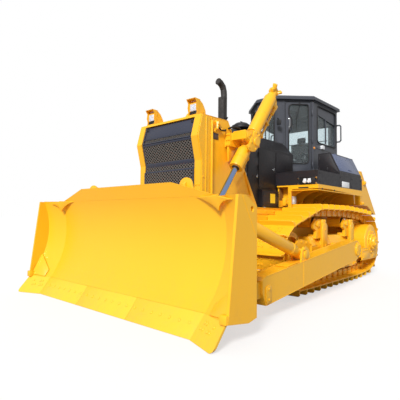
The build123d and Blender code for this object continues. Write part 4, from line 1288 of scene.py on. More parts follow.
class DOZER_OT_cab(Piece, bpy.types.Operator):
    """Window rubbers, roof edge, lamps, mirrors and wipers"""
    bl_idname, bl_label = "dozer.cab", "Cab"

    def make(self, sizes):
        done(self.seals(), "window_seals", "rubber")
        done(self.frames(), "cab_trim", "cab")
        done(self.visor(), "window_bands", "cab")
        pair(self.white_lamp(), "cab_lamp_lenses", "white")
        pair(turned([(0, 0.024), (0.014, 0.024), (0.022, 0.016)], (1.085, 0.684, 2.35), LEFT, 20),
             "cab_reflectors", "amber")
        pair(self.mirrors(), "mirrors", "rubber")
        done(self.wipers(), "wipers", "rubber")
        pair(self.rail_feet(), "grab_rail_feet", "panels")

    def seals(self):
        """Round-cornered rubbers of the side, front and rear windows."""
        side = both_sides(on_side(seal(rounded_corners((0.155, 0.672), (0.95, 1.363), 0.07), 0.014)))
        front = set_in(seal(rounded_corners((-0.15, 2.05), (0.15, 3.15), 0.07), 0.014), (1.572, 0, 0), LEFT, UP)
        rear = set_in(seal(rounded_corners((-0.54, 2.35), (0.54, 3.13), 0.07), 0.014), (0.088, 0, 0), RIGHT, UP)
        return [side, front, rear]

    def visor(self):
        """Dark shade band across the head of each side window, sliding divider and rear rail."""
        band = plate([(0.16, 1.205), (0.945, 1.125), (0.945, 1.358), (0.16, 1.358)], (-0.02, -0.012), "z")
        divider = plate([(0.52, 0.68), (0.548, 0.68), (0.548, 1.2), (0.52, 1.2)], (-0.024, -0.006), "z")
        rail = bar((0.125, -0.52, 2.655), (0.125, 0.52, 2.655), 0.008, 12)
        shade = box((0.12, -0.535, 2.92), (0.126, 0.535, 3.125), 0.002)
        return [both_sides(on_side([band, divider])), rail, shade]

    def frames(self):
        """Gutters, corner beads, seams and bolts of the cab."""
        side = [box((0, 1.4, -0.002), (1.01, 1.412, 0.014), 0.003),
                bar((0.004, 0.02, 0.001), (0.004, 1.4, 0.001), 0.0075, 12),
                bar((1.004, 0.02, -0.001), (1.004, 1.4, -0.001), 0.0075, 12),
                box((0.06, 0.56, -0.001), (0.96, 0.572, 0.005), 0.002),
                box((0.11, 0.64, -0.001), (0.99, 0.65, 0.006), 0.002)]
        side.append(bolts([(0.06, v, 0) for v in (0.7, 0.95, 1.2)] + [(0.985, v, 0) for v in (0.7, 0.95, 1.2)],
                          UP, 0.008))
        flank = both_sides(on_side(side))
        lip = [(1.621, 0.222), (1.118, 0.722), (0.045, 0.744), (0.045, -0.744), (1.118, -0.722), (1.621, -0.222)]
        rim = tube([(x, y, 3.232) for x, y in lip + lip[:2]], 0.01, around=2)
        beads = row(box((0.35, -0.5, 3.299), (0.39, 0.5, 3.306), 0.003), 4, (0.24, 0, 0))
        hatch = turned([(0, 0.045), (0.018, 0.045), (0.03, 0.02), (0.036, 0.02)], (1.15, 0.25, 3.299), UP, 24)
        eyes = copies(turned([(0, 0.018), (0.016, 0.018), (0.018, 0.01), (0.03, 0.01)], (0.3, 0.55, 3.299), UP, 16),
                      [(0, 0, 0), (0, -1.1, 0), (0.8, -0.05, 0), (0.8, -1.05, 0)])
        lamp = [box((0.02, y - 0.06, 3.185), (0.06, y + 0.06, 3.245), 0.008) for y in (-0.42, 0.42)]
        return [flank, rim, beads, hatch, eyes, *lamp]

    def white_lamp(self):
        """Small work lamp low on the side wall, with its rim."""
        body = box((0.735, 0.68, 2.368), (0.815, 0.728, 2.436), 0.01)
        rim = [box((0.731, 0.722, z), (0.819, 0.731, z + 0.006), 0.0025) for z in (2.365, 2.433)]
        rim += [box((x, 0.722, 2.365), (x + 0.006, 0.731, 2.439), 0.0025) for x in (0.731, 0.813)]
        return [body, *rim]

    def mirrors(self):
        """Mirror on a bent arm at the front corner."""
        arm = tube([(1.56, 0.222, 2.86), (1.64, 0.26, 2.86), (1.66, 0.3, 2.84), (1.66, 0.3, 2.8)], 0.008, 0.02)
        head = box((1.646, 0.255, 2.73), (1.668, 0.345, 2.822), 0.01)
        return [arm, head]

    def wipers(self):
        """Wiper arms and blades on the front and rear glass and the doors."""
        front = tube([(1.58, 0, 2.1), (1.598, 0, 2.12), (1.594, 0.055, 2.55)], 0.006)
        blade = box((1.584, 0.048, 2.38), (1.592, 0.06, 2.78), 0.003)
        motor = turned([(0, 0.024), (0.014, 0.024), (0.018, 0.016)], (1.57, 0, 2.085), FORE, 20)
        rear = tube([(0.08, 0, 3.1), (0.062, 0, 3.09), (0.066, 0.15, 2.75)], 0.006)
        rear_blade = box((0.066, 0.1, 2.6), (0.074, 0.112, 2.98), 0.003)
        sides = both_sides(on_door([
            tube([(0.42, 1.375, 0.002), (0.42, 1.365, 0.02), (0.36, 1.02, 0.016)], 0.0055),
            box((0.352, 0.86, 0.004), (0.362, 1.2, 0.012), 0.003),
            disc(0.018, 0.012, (0.42, 1.375, 0), UP, 16)]))
        return [front, blade, motor, rear, rear_blade, sides]

    def rail_feet(self):
        """Round feet of the grab rails."""
        return [turned([(0, 0.03), (0.006, 0.03), (0.01, 0.018), (0.02, 0.017)], (0.13, 0.699, z), LEFT, 20)
                for z in (2.6, 2.93)]


CUSHION_GRAIN, PRESSURE, STIFFNESS, FRAMES, MOST_SWELL = 0.006, 4.0, 40, 12, 0.012      # of the cushions


class DOZER_OT_seat(Piece, bpy.types.Operator):
    """Operator's seat, consoles and levers"""
    bl_idname, bl_label = "dozer.seat", "Seat and controls"

    def make(self, sizes):
        cushions = [self.cushion((0.44, -0.205, 2.095), (0.93, 0.225, 2.205)),
                    self.cushion((0.325, -0.15, 2.19), (0.435, 0.22, 2.6)),
                    self.cushion((0.31, -0.03, 2.615), (0.385, 0.15, 2.73))]
        done(cushions, "seat_cushions", "vinyl")
        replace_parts(done(self.frame_of_seat(), "seat_frame", "plastic"), "operator_seat")
        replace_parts(done(self.consoles(), "control_consoles", "plastic"), "cab_consoles")
        done(self.levers(), "levers", "rubber")

    def cushion(self, low, high):
        """A stuffed block: blown up as cloth, with a piped seam round its middle."""
        part = box(low, high, 0.035, 4)
        modified(part, "REMESH", mode="VOXEL", voxel_size=CUSHION_GRAIN)
        self.stuffed(part)
        centre = (Vector(low) + Vector(high)) / 2
        half = (Vector(high) - Vector(low)) / 2 + Vector((0.002, 0.002, 0.002))
        if half.z > half.x:
            seam = [(0, y, z) for y, z in ((-1, -0.86), (-1, 0.86), (-0.86, 1), (0.86, 1), (1, 0.86), (1, -0.86))]
        else:
            seam = [(x, y, 0) for x, y in ((-0.9, -1), (0.86, -1), (1, -0.86), (1, 0.86), (0.86, 1), (-0.9, 1))]
        points = [centre + half * Vector(spot) for spot in seam]
        return [part, tube(points, 0.0035, around=2)]

    def stuffed(self, part):
        """Presses the skin outward a little under a cloth's tension."""
        only(part)
        bpy.ops.object.modifier_add(type="CLOTH")
        cloth = part.modifiers[-1]
        cloth.settings.use_pressure, cloth.settings.uniform_pressure_force = True, PRESSURE
        cloth.settings.effector_weights.gravity = 0.0
        cloth.settings.tension_stiffness = cloth.settings.compression_stiffness = STIFFNESS
        before = [v.co.copy() for v in part.data.vertices]
        scene = bpy.context.scene
        for number in range(1, FRAMES + 1):
            scene.frame_set(number)
        bpy.ops.object.modifier_apply(modifier=cloth.name)
        for vertex, old in zip(part.data.vertices, before):
            move = vertex.co - old
            if move.length > MOST_SWELL:
                vertex.co = old + move.normalized() * MOST_SWELL
        scene.frame_set(1)

    def frame_of_seat(self):
        """Slides, suspension base, back shell and arm rests."""
        shell = slab([(0.325, -0.15, 2.14), (0.325, 0.22, 2.14), (0.318, 0.2, 2.6), (0.318, -0.13, 2.6)],
                     (-0.022, 0, 0), 0.006)
        base = box((0.5, -0.18, 1.82), (0.88, 0.18, 1.9), 0.01)
        bellows = row(box((0.52, -0.16, 1.9), (0.86, 0.16, 1.925), 0.008), 5, (0, 0, 0.028))
        pan = box((0.45, -0.2, 2.045), (0.92, 0.22, 2.09), 0.012)
        arms = []
        for y in (-0.22, 0.232):
            arms.append(box((0.42, y, 2.33), (0.76, y + 0.05, 2.372), 0.018, 3))
            arms.append(bar((0.34, y + 0.025, 2.335), (0.44, y + 0.025, 2.345), 0.014, 12))
        neck = [bar((0.345, y, 2.58), (0.345, y, 2.64), 0.007, 10) for y in (0, 0.12)]
        rails = [box((0.48, y, 1.801), (0.9, y + 0.03, 1.822), 0.003) for y in (-0.16, 0.13)]
        return [shell, base, bellows, pan, *arms, *neck, *rails]

    def consoles(self):
        """Low side consoles, dash pod with gauges, pedals and floor mat."""
        left = plate([(0.5, 1.801), (1.05, 1.801), (1.05, 1.98), (0.96, 2.08), (0.55, 2.1), (0.5, 2.05)],
                     (0.3, 0.44), edge=0.012)
        right = plate([(0.5, 1.801), (1.05, 1.801), (1.05, 2), (0.96, 2.14), (0.54, 2.16), (0.5, 2.1)],
                      (-0.44, -0.3), edge=0.012)
        pod = plate([(1.29, 1.801), (1.4, 1.801), (1.42, 2.05), (1.4, 2.16), (1.28, 2.12), (1.29, 2.02)],
                    (-0.16, 0.16), edge=0.012)
        gauges = [turned([(0, 0.034), (0.006, 0.034), (0.006, 0.028)], (1.291, y, 2.07), (-1, 0, 0.1), 24)
                  for y in (-0.09, 0, 0.09)]
        pedals = [slab([(1.16, y, 1.83), (1.16, y + 0.07, 1.83), (1.24, y + 0.07, 1.93), (1.24, y, 1.93)],
                       (0.01, 0, 0.008), 0.002) for y in (-0.1, 0.04)]
        mat = box((0.95, -0.28, 1.801), (1.28, 0.28, 1.81), 0.003)
        return [left, right, pod, *gauges, *pedals, mat]

    def levers(self):
        """Joystick, blade lever and their gaiters."""
        parts = []
        for x, y, base, lean in ((0.9, 0.37, 2.08, 0.03), (0.86, -0.37, 2.13, 0.02), (0.7, -0.37, 2.15, -0.02)):
            parts.append(turned([(0, 0.034), (0.012, 0.034), (0.02, 0.024), (0.028, 0.028), (0.04, 0.014)],
                                (x, y, base), UP, 20))
            parts.append(bar((x, y, base + 0.02), (x + lean, y, base + 0.16), 0.007, 12))
            parts.append(turned([(0, 0.013), (0.03, 0.019), (0.07, 0.019), (0.095, 0.014), (0.102, 0.006)],
                                (x + lean, y, base + 0.145), (lean, 0, 0.2), 20))
        return parts


# ---- base, fenders and side boxes ------------------------------------------------------------
DECK_EDGE, BASE_FRONT, BOX_FRONT = 1.28, 2.2, 1.38


class DOZER_OT_base(Piece, bpy.types.Operator):
    """Valve opening, plates, side-box lids, fender slots and struts"""
    bl_idname, bl_label = "dozer.base", "Base"

    def make(self, sizes):
        pair(self.opening(), "valve_opening", "rubber")
        pair(self.couplings(), "valve_couplings", "white", slot="rod_chrome")
        pair(bolts([(BASE_FRONT + 0.001, y, z) for y in (0.959, 1.253) for z in (1.606, 1.69)], FORE, 0.017),
             "valve_bolts", "steel")
        done(self.name_plate(), "base_plate", "white", slot="rod_chrome")
        # Painted reflection: the lids' blue-grey stands for the reflected sky.
        pair(self.lid(), "box_lids", "incline")
        pair(self.box_trim(), "side_box_trim", "panels")
        pair(self.fender_trim(), "fender_trim")
        pair(self.slots(), "fender_slots", "rubber", slot="under_dark")
        pair(self.struts(), "fender_struts")
        # Painted shade: thin dark brown sheets over the fender's inner wall and under the deck stand for the shade
        # there.
        painted_shade_plates = [box((0.43, 0.6005, 1.36), (2.165, 0.604, 1.566), 0.001),
                  box((0.37, 0.61, 1.563), (2.16, 1.25, 1.5675), 0.001)]
        pair(painted_shade_plates, "fender_liners", "inner")
        done(self.bottle(), "washer_bottle", "white")

    def bottle(self):
        """Washer bottle: body, ribs, neck and cap."""
        body = box((1.96, 0.7, 1.3), (2.06, 0.8, 1.43), 0.014)
        ribs = [box((1.956, 0.696, z), (2.064, 0.804, z + 0.008), 0.004) for z in (1.335, 1.385)]
        neck = turned([(0, 0.016), (0.02, 0.016), (0.02, 0.024), (0.036, 0.024), (0.04, 0.02)], (2.01, 0.75, 1.426),
                      UP, 24)
        return [body, *ribs, neck]

    def opening(self):
        """Painted shade: a dark panel in a rim, on the base's front, stands for the shade inside the valve opening.
        """
        back = box((BASE_FRONT - 0.001, 0.985, 1.6), (BASE_FRONT + 0.003, 1.228, 1.702), 0.002)
        rim = [box((BASE_FRONT, 0.978, z), (BASE_FRONT + 0.012, 1.235, z + 0.008), 0.002) for z in (1.594, 1.7)]
        rim += [box((BASE_FRONT, y, 1.594), (BASE_FRONT + 0.012, y + 0.008, 1.708), 0.002) for y in (0.975, 1.23)]
        return [back, *rim]

    def couplings(self):
        """Two pale hose couplings in the opening."""
        parts = []
        for y in (1.07, 1.142):
            parts.append(turned([(0, 0.028), (0.016, 0.028), (0.018, 0.022), (0.038, 0.022)],
                                (BASE_FRONT + 0.002, y, 1.636), FORE, 20))
            parts.append(box((BASE_FRONT + 0.002, y - 0.024, 1.64), (BASE_FRONT + 0.02, y + 0.024, 1.682), 0.006))
        return parts

    def name_plate(self):
        """Blank white plate on the left side, in a thin frame."""
        return [box((0.985, DECK_EDGE - 0.002, 1.604), (1.29, DECK_EDGE + 0.002, 1.69), 0.001),
                box((0.978, DECK_EDGE - 0.002, 1.598), (1.297, DECK_EDGE + 0.0005, 1.696), 0.001)]

    def lid(self):
        """Bluish lid on the box's slope, with its lock and hinges; the bluish grey is a painted reflection of the
        sky.
        """
        along = BACK
        up = (0, 1.12 - 1.276, 2.185 - 1.85)
        skin = box((0.02, 0.02, -0.001), (0.96, 0.345, 0.006), 0.004)
        lock = turned([(0, 0.022), (0.006, 0.022), (0.008, 0.014)], (0.1, 0.075, 0.006), UP, 24)
        handle = box((0.44, 0.06, 0.006), (0.56, 0.078, 0.02), 0.006)
        hinges = [bar((x, 0.352, 0.004), (x + 0.1, 0.352, 0.004), 0.009, 12) for x in (0.12, 0.74)]
        return set_in(joined([skin, lock, handle, *hinges]), (BOX_FRONT, 1.276, 1.85), along, up)

    def box_trim(self):
        """Front door of the side box, its latch, seams and bolts along the base."""
        x = BOX_FRONT
        door = plate([(0.915, 1.83), (1.258, 1.83), (1.258, 1.852), (1.108, 2.168), (0.915, 2.168)],
                     (x - 0.001, x + 0.006), "x", edge=0.003)
        latch = [box((x + 0.006, 1.055, 1.87), (x + 0.022, 1.08, 1.94), 0.006),
                 disc(0.014, 0.008, (x + 0.006, 1.0675, 1.965), FORE, 20)]
        hinges = [bar((x + 0.006, 0.922, z), (x + 0.006, 0.922, z + 0.06), 0.008, 12) for z in (1.88, 2.08)]
        heads = bolts([(x + 0.006, 0.94, 2.145), (x + 0.006, 1.09, 2.145), (x + 0.006, 1.235, 1.862)], FORE, 0.008)
        seams = [box((x0, DECK_EDGE - 0.004, 1.592), (x0 + 0.006, DECK_EDGE - 0.0005, 1.798)) for x0 in (1.39, 0.9)]
        ledge = box((0.36, DECK_EDGE - 0.01, 1.796), (2.2, DECK_EDGE - 0.001, 1.806), 0.003)
        front_ledge = box((2.192, 0.56, 1.796), (2.204, DECK_EDGE - 0.001, 1.806), 0.003)
        sides = bolts([(v, DECK_EDGE - 0.002, z) for v in (0.42, 0.86, 1.35, 2.14) for z in (1.63, 1.76)], LEFT, 0.01)
        tread = row(box((1.42, 0.8, 1.801), (1.45, 1.25, 1.808), 0.002), 12, (0.062, 0, 0))
        top = box((0.42, 0.915, 2.184), (1.36, 1.105, 2.19), 0.003)
        return [door, *latch, *hinges, heads, *seams, ledge, front_ledge, sides, tread, top]

    def fender_trim(self):
        """Rolled lip, bolts and flange round the deck's band."""
        lip = tube([(2.198, 0.8, 1.506), (2.198, DECK_EDGE - 0.002, 1.506), (0.37, DECK_EDGE - 0.002, 1.496)],
                   0.008, 0.02)
        heads = bolts([(x, DECK_EDGE, 1.548) for x in (2.1, 1.75, 1.3, 0.85, 0.45)], LEFT, 0.01)
        front = bolts([(2.2005, y, 1.548) for y in (0.83, 0.93, 1.2)], FORE, 0.01)
        post = bolts([(2.2005, 0.805, z) for z in (1.28, 1.38, 1.47)], FORE, 0.011)
        flange = box((2.17, 0.779, 1.243), (2.212, 0.832, 1.262), 0.004)
        return [lip, heads, front, post, flange]

    def slots(self):
        """Painted shade: dark plates on the band stand for the shade inside its slots."""
        front = plate([(0.965, 1.535), (1.12, 1.535), (1.132, 1.545), (1.12, 1.556), (0.965, 1.556), (0.953, 1.545)],
                      (2.199, 2.2015), "x")
        side = [disc(0.02, 0.0015, (x, DECK_EDGE - 0.0005, 1.52), LEFT, 20) for x in (2.055, 1.612)]
        return [front, *side]

    def struts(self):
        """Curved ribs under the deck, each with two bolts on its foot."""
        arc = [(1.245 - 0.5 * sin(a), 1.555 - 0.2 * (1 - cos(a))) for a in (radians(18 * i) for i in range(6))]
        rib = plate([(0.6, 1.567), (1.25, 1.567), *arc, (0.68, 1.3), (0.6, 1.29)], (2.02, 2.038), "x", edge=0.004)
        foot = box((1.99, 0.6, 1.275), (2.07, 0.66, 1.4), 0.008)
        heads = bolts([(2.03 + d, 0.661, z) for d in (-0.022, 0.022) for z in (1.315, 1.365)], LEFT, 0.012)
        edge_bar = tube([(2.029, y, z) for y, z in [*arc, (0.7, 1.31)]], 0.012, around=2)
        return row([rib, foot, heads, edge_bar], 5, (-0.37, 0, 0))


# ---- undercarriage and arms ------------------------------------------------------------------
DRIVE_Z, CARRIER_X, (IDLER_X, IDLER_Z) = WHEELS[0][1], WHEELS[1][0], WHEELS[3][:2]
ROLLER_X, ROLLER_STEP, CARRIER_STEP = 0.49, 0.368, 1.12
BRACE_END, BRACE_TOP = Vector((3.215, 1.5, 0.64)), Vector((4.5, 1.44, 1.09))
PORTS_AT = (0.16, 0.54)      # shares of the way from the brace's end to its top


class DOZER_OT_undercarriage(Piece, bpy.types.Operator):
    """Caps, bolts, seals and covers of the drives, rollers, idlers and track frames"""
    bl_idname, bl_label = "dozer.undercarriage", "Undercarriage"

    def make(self, sizes):
        pair(self.drive(), "drive_caps")
        pair(self.sprocket(), "sprocket_bolts", "machine", slot="under_dark")
        pair(self.rollers(), "roller_caps", "machine", slot="under_dark")
        pair(self.carriers(), "carrier_caps", "machine", slot="under_dark")
        pair(self.collars(), "carrier_seals", "iron", slot="under_dark")
        pair(self.idlers(), "idler_caps", "machine", slot="under_dark")
        pair(self.frame(), "track_frame_trim")
        done(self.hull(), "hull_trim")

    def drive(self):
        """Bearing cap with its bolt circles, drum rim and drain plugs."""
        rim = turned([(0, 0.332), (0.02, 0.336), (0.04, 0.332)], (0, 1.06, DRIVE_Z), LEFT, 48)
        lip = turned([(0, 0.325), (0.012, 0.318), (0.02, 0.3)], (0, 1.2955, DRIVE_Z), LEFT, 48)
        step = turned([(0, 0.222), (0.01, 0.222), (0.016, 0.214)], (0, 1.3155, DRIVE_Z), LEFT, 40)
        cap = turned([(0, 0.152), (0.022, 0.152), (0.032, 0.14), (0.036, 0.105), (0.062, 0.098), (0.074, 0.08)],
                     (0, 1.3345, DRIVE_Z), LEFT, 40)
        outer = ring_of((0, 1.331, DRIVE_Z), LEFT, 0.19, 12, 0.015)
        inner = ring_of((0, 1.366, DRIVE_Z), LEFT, 0.123, 12, 0.014, 0.2)
        plugs = [disc(0.02, 0.012, (x, 1.408, z), LEFT, 6) for x, z in ((0.045, 0.6), (-0.045, 0.66))]
        return [rim, lip, step, cap, outer, inner, *plugs]

    def sprocket(self):
        """Bolts of the tooth segments."""
        return [ring_of((0, 1.032, DRIVE_Z), LEFT, 0.372, 27, 0.016),
                ring_of((0, 0.968, DRIVE_Z), RIGHT, 0.372, 27, 0.016)]

    def rollers(self):
        """Round flanges, shaft ends and clamp caps of the track rollers."""
        x, z = ROLLER_X, 0.298
        shells = [turned([(0, 0.07), (0.01, 0.084), (0.03, 0.1), (0.055, 0.1)], (x, y, z), way, 28)
                  for y, way in ((1.068, LEFT), (0.932, RIGHT))]
        flange = turned([(0, 0.1125), (0.01, 0.1145), (0.1, 0.1145), (0.11, 0.1125)], (x, 0.945, z), LEFT, 28)
        cap = box((x - 0.06, 1.183, z - 0.045), (x + 0.06, 1.196, z + 0.045), 0.01)
        end = turned([(0, 0.03), (0.008, 0.03), (0.01, 0.02)], (x, 1.196, z), LEFT, 20)
        heads = bolts([(x + d, 1.196, z + h) for d in (-0.042, 0.042) for h in (-0.026, 0.026)], LEFT, 0.011)
        return [row([shells, flange, cap, end, heads], 6, (ROLLER_STEP, 0, 0))]

    def carriers(self):
        """Round faces, shaft caps and clamp blocks of the carrier rollers."""
        x, z = CARRIER_X, 1.015
        face = turned([(0, 0.066), (0.006, 0.084), (0.02, 0.0895), (0.048, 0.0895), (0.052, 0.086)], (x, 1.068, z),
                      LEFT, 28)
        rear = turned([(0, 0.086), (0.004, 0.0895), (0.05, 0.0895), (0.055, 0.078)], (x, 0.932, z), RIGHT, 28)
        shaft = turned([(0, 0.05), (0.018, 0.05), (0.024, 0.04)], (x, 1.196, z - 0.025), LEFT, 24)
        clamp = box((x - 0.225, 1.194, 0.955), (x - 0.085, 1.236, 1.062), 0.016)
        heads = bolts([(x - 0.155, 1.243, 0.905), (x - 0.155, 1.236, 1.036), (x - 0.155, 1.243, 0.66),
                       (x + 0.08, 1.197, 0.98)], LEFT, 0.014)
        circle = ring_of((x, 1.22, z - 0.025), LEFT, 0.028, 4, 0.007)
        gusset = plate([(x - 0.245, 0.565), (x - 0.075, 0.565), (x - 0.06, 0.88), (x - 0.08, 0.965),
                        (x - 0.125, 1.01), (x - 0.205, 1.01), (x - 0.25, 0.96)], (1.221, 1.243), edge=0.006)
        whole = joined([face, rear, shaft, clamp, heads, circle, gusset])
        return [row(whole, 2, (CARRIER_STEP, 0, 0))]

    def collars(self):
        """Dark seals beside the carrier rollers."""
        return [row(disc(0.063, 0.022, (CARRIER_X, 1.122, 1.015), LEFT, 24), 2, (CARRIER_STEP, 0, 0))]

    def idlers(self):
        """Rims, hub and slide plates of the front wheels."""
        tread = [turned([(0, 0.334), (0.008, 0.344), (0.052, 0.344), (0.06, 0.334)], (IDLER_X, y, IDLER_Z), LEFT, 64)
                 for y in (0.876, 1.064)]
        tread = [cut(t, bar((IDLER_X, 0.8, IDLER_Z), (IDLER_X, 1.2, IDLER_Z), 0.288, 48)) for t in tread]
        hub = turned([(0, 0.104), (0.01, 0.108), (0.02, 0.104), (0.024, 0.07)], (IDLER_X, 1.13, IDLER_Z), LEFT, 32)
        block = box((IDLER_X - 0.075, 1.181, IDLER_Z - 0.06), (IDLER_X + 0.06, 1.198, IDLER_Z + 0.06), 0.012)
        heads = bolts([(IDLER_X + dx, 1.198, IDLER_Z + dz) for dx in (-0.055, 0.04) for dz in (-0.04, 0.04)],
                      LEFT, 0.014)
        rail = box((2.3, 1.181, 0.462), (2.7, 1.194, 0.482), 0.004)
        guard = bolts([(x, 1.182, 0.7 + 0.02 * i) for i, x in enumerate((2.26, 2.4, 2.54))], LEFT, 0.015)
        return [*tread, hub, block, heads, rail, guard]

    def frame(self):
        """Bolts, covers, hatches and steps of the track frame."""
        low = bolts([(0.5 + 0.184 * i, 1.182, 0.395) for i in range(11)], LEFT, 0.015)
        foot = bolts([(0.56 + 0.368 * i, 1.182, 0.262) for i in range(6)], LEFT, 0.012)
        rib = box((0.62, 1.181, 0.345), (2.45, 1.19, 0.357), 0.003)
        covers = [slab([(x0, 1.12, 0.802), (x1, 1.12, 0.802), (x1, 1.192, 0.66), (x0, 1.192, 0.66)],
                       (0, 0.01, 0.006), 0.004) for x0, x1 in ((1.55, 1.95), (2.06, 2.24))]
        heads = bolts([(x, 1.16, 0.744) for x in (1.58, 1.75, 1.92, 2.09, 2.21)], (0, 0.89, 0.45), 0.012)
        nipple = turned([(0, 0.016), (0.018, 0.016), (0.02, 0.007), (0.036, 0.007)], (2.32, 1.182, 0.58), LEFT, 12)
        doors = [box((x0, 1.3215, 0.352), (x1, 1.3275, 0.455), 0.004) for x0, x1 in ((-0.22, -0.02), (0.12, 0.44))]
        lower = bolts([(x, 1.322, 0.505) for x in (-0.31, 0.25, 0.34, 0.45)]
                      + [(x, 1.322, 0.372) for x in (-0.255, 0.46)], LEFT, 0.013)
        guard = slab([(-0.2, 1.302, 0.33), (0.42, 1.302, 0.33), (0.42, 1.25, 0.3), (-0.2, 1.25, 0.3)],
                     (0, 0, 0.012), 0.003)
        trunnion = turned([(0, 0.098), (0.016, 0.098), (0.022, 0.09)], (1.5, 1.372, 0.6), LEFT, 32)
        return [low, foot, rib, covers, heads, nipple, doors, lower, guard, trunnion]

    def hull(self):
        """Bolted ledges of the side blocks, belly bolts and the front cross member's pads."""
        parts = []
        for x, y, z in ((3.06, 0.7, 1.222), (3.04, 0.714, 1.14), (2.9, 0.67, 0.9)):
            parts.append(bolts([(v, y + 0.0005, z - 0.045) for v in (2.28, 2.5, 2.72, x - 0.05)], LEFT, 0.014))
            parts.append(box((2.212, y - 0.01, z - 0.004), (x + 0.004, y + 0.01, z + 0.006), 0.003))
        parts.append(box((2.3, 0.7135, 0.955), (2.62, 0.72, 1.075), 0.004))
        parts.append(bolts([(v, 0.7205, z) for v in (2.33, 2.59) for z in (0.975, 1.055)], LEFT, 0.01))
        parts.append(bolts([(v, 0.6705, z) for v in (2.3, 2.55, 2.84) for z in (0.63, 0.72)], LEFT, 0.015))
        belly = bolts([(0.2 + 0.42 * i, y, 0.405) for i in range(7) for y in (-0.44, -0.12, 0.12, 0.44)], DOWN, 0.018)
        hatches = [box((x, -0.2, 0.397), (x + 0.36, 0.2, 0.4055), 0.004) for x in (0.55, 1.4, 2.25)]
        return [both_sides(parts), belly, *hatches]


class DOZER_OT_arms(Piece, bpy.types.Operator):
    """Push-arm seams and plates, brace sleeve and tilt cylinder fittings"""
    bl_idname, bl_label = "dozer.arms", "Push arms"

    def make(self, sizes):
        pair(self.arm(), "push_arm_trim", body="blade")
        done(self.brace(), "brace_sleeve", body="blade")
        done(self.tilt(), "tilt_trim", body="blade")
        done(self.tilt_seal(), "tilt_seal", "rubber", "blade")
        done(self.tilt_lines(), "tilt_lines", "rubber", "blade")

    def arm(self):
        """Welds along the box, front cover plate, rear cap and bracket pins."""
        welds = [tube([(1.56, y, 0.738), (4.15, y, 0.469)], 0.005) for y in (1.402, 1.598)]
        low = [tube([(1.56, y, 0.444), (4.12, y, 0.171)], 0.005) for y in (1.402, 1.598)]
        seam = tube([(3.3, 1.6005, 0.552), (3.3, 1.6005, 0.262)], 0.003)
        cover = plate([(4.06, 0.19), (4.132, 0.184), (4.15, 0.215), (4.15, 0.345), (4.125, 0.372), (4.06, 0.372),
                       (4.045, 0.345), (4.045, 0.215)], (1.598, 1.612), edge=0.005)
        heads = bolts([(4.097, 1.612, z) for z in (0.225, 0.335)], LEFT, 0.016)
        cap = turned([(0, 0.105), (0.012, 0.105), (0.02, 0.094), (0.026, 0.06)], (1.5, 1.598, 0.6), LEFT, 36)
        cap_bolts = ring_of((1.5, 1.617, 0.6), LEFT, 0.077, 6, 0.013)
        pin = turned([(0, 0.052), (0.012, 0.052), (0.016, 0.044)], (BRACE_END.x, 1.584, BRACE_END.z), LEFT, 28)
        inner_pin = disc(0.052, 0.012, (BRACE_END.x, 1.416, BRACE_END.z), RIGHT, 28)
        keeper = [box((BRACE_END.x - 0.02, 1.584, BRACE_END.z + 0.05),
                      (BRACE_END.x + 0.075, 1.594, BRACE_END.z + 0.078), 0.004),
                  bolts([(BRACE_END.x + 0.058, 1.594, BRACE_END.z + 0.064)], LEFT, 0.01)]
        step = slab([(3.36, 1.42, 0.553), (3.66, 1.42, 0.522), (3.66, 1.58, 0.522), (3.36, 1.58, 0.553)],
                    (0.001, 0, 0.01), 0.004)
        clevis = [turned([(0, 0.06), (0.012, 0.06), (0.018, 0.05)], (4.4, y, 0.32), way, 28)
                  for y, way in ((1.569, LEFT), (1.431, RIGHT))]
        return [*welds, *low, seam, cover, heads, cap, cap_bolts, pin, inner_pin, *keeper, step, *clevis]

    def brace(self):
        """Thick sleeve over the strut with tapered ends and lock rings."""
        way, run = BRACE_TOP - BRACE_END, (BRACE_TOP - BRACE_END).length
        low, high = 0.085 * run, 0.885 * run
        sleeve = turned([(0, 0.052), (0.045, 0.0745), (high - low - 0.05, 0.0745), (high - low, 0.052)],
                        BRACE_END + way.normalized() * low, way, 36)
        rings = [turned([(0, 0.0755), (0.004, 0.079), (0.022, 0.079), (0.026, 0.0755)], BRACE_END + way * t, way, 36)
                 for t in (0.17, 0.8)]
        pin = turned([(0, 0.03), (0.016, 0.03), (0.02, 0.022)], BRACE_TOP + Vector((0, 0, 0.084)), UP, 24)
        return [sleeve, rings, pin, self.eyes()]

    def eyes(self):
        """The round eyes at a strut's two ends."""
        return [turned([(0, 0.05), (0.008, 0.058), (0.118, 0.058), (0.126, 0.05)],
                       BRACE_TOP - Vector((0, 0, 0.063)), UP, 32),
                turned([(0, 0.062), (0.006, 0.066), (0.116, 0.066), (0.122, 0.062)],
                       (BRACE_END.x, 1.439, BRACE_END.z), LEFT, 32)]

    def tilt(self):
        """Cap, bands, gland and ports of the tilt cylinder."""
        way, run = BRACE_TOP - BRACE_END, (BRACE_TOP - BRACE_END).length
        start = BRACE_END + way * 0.1
        barrel = turned([(0, 0.07), (0.01, 0.0825), (0.4 * run, 0.0825), (0.41 * run, 0.078)], start, way, 40)
        gland = turned([(0, 0.086), (0.008, 0.09), (0.075, 0.09), (0.085, 0.08), (0.09, 0.055)],
                       BRACE_END + way * 0.515, way, 40)
        gland_bolts = ring_of(BRACE_END + way * 0.515 + way.normalized() * 0.079, way, 0.07, 8, 0.011)
        base = turned([(0, 0.078), (0.006, 0.0885), (0.06, 0.0885), (0.066, 0.083)], start, way, 40)
        ports = [bar(BRACE_END + way * t, BRACE_END + way * t + Vector((0, 0, 0.115)), 0.022, 6, 0.003)
                 for t in PORTS_AT]
        return on_right([barrel, gland, gland_bolts, base, ports, self.eyes()])

    def tilt_seal(self):
        """Rubber ring where the tilt rod leaves its gland."""
        way = BRACE_TOP - BRACE_END
        return on_right(turned([(0, 0.054), (0.012, 0.054), (0.016, 0.046)], BRACE_END + way * 0.58, way, 28))

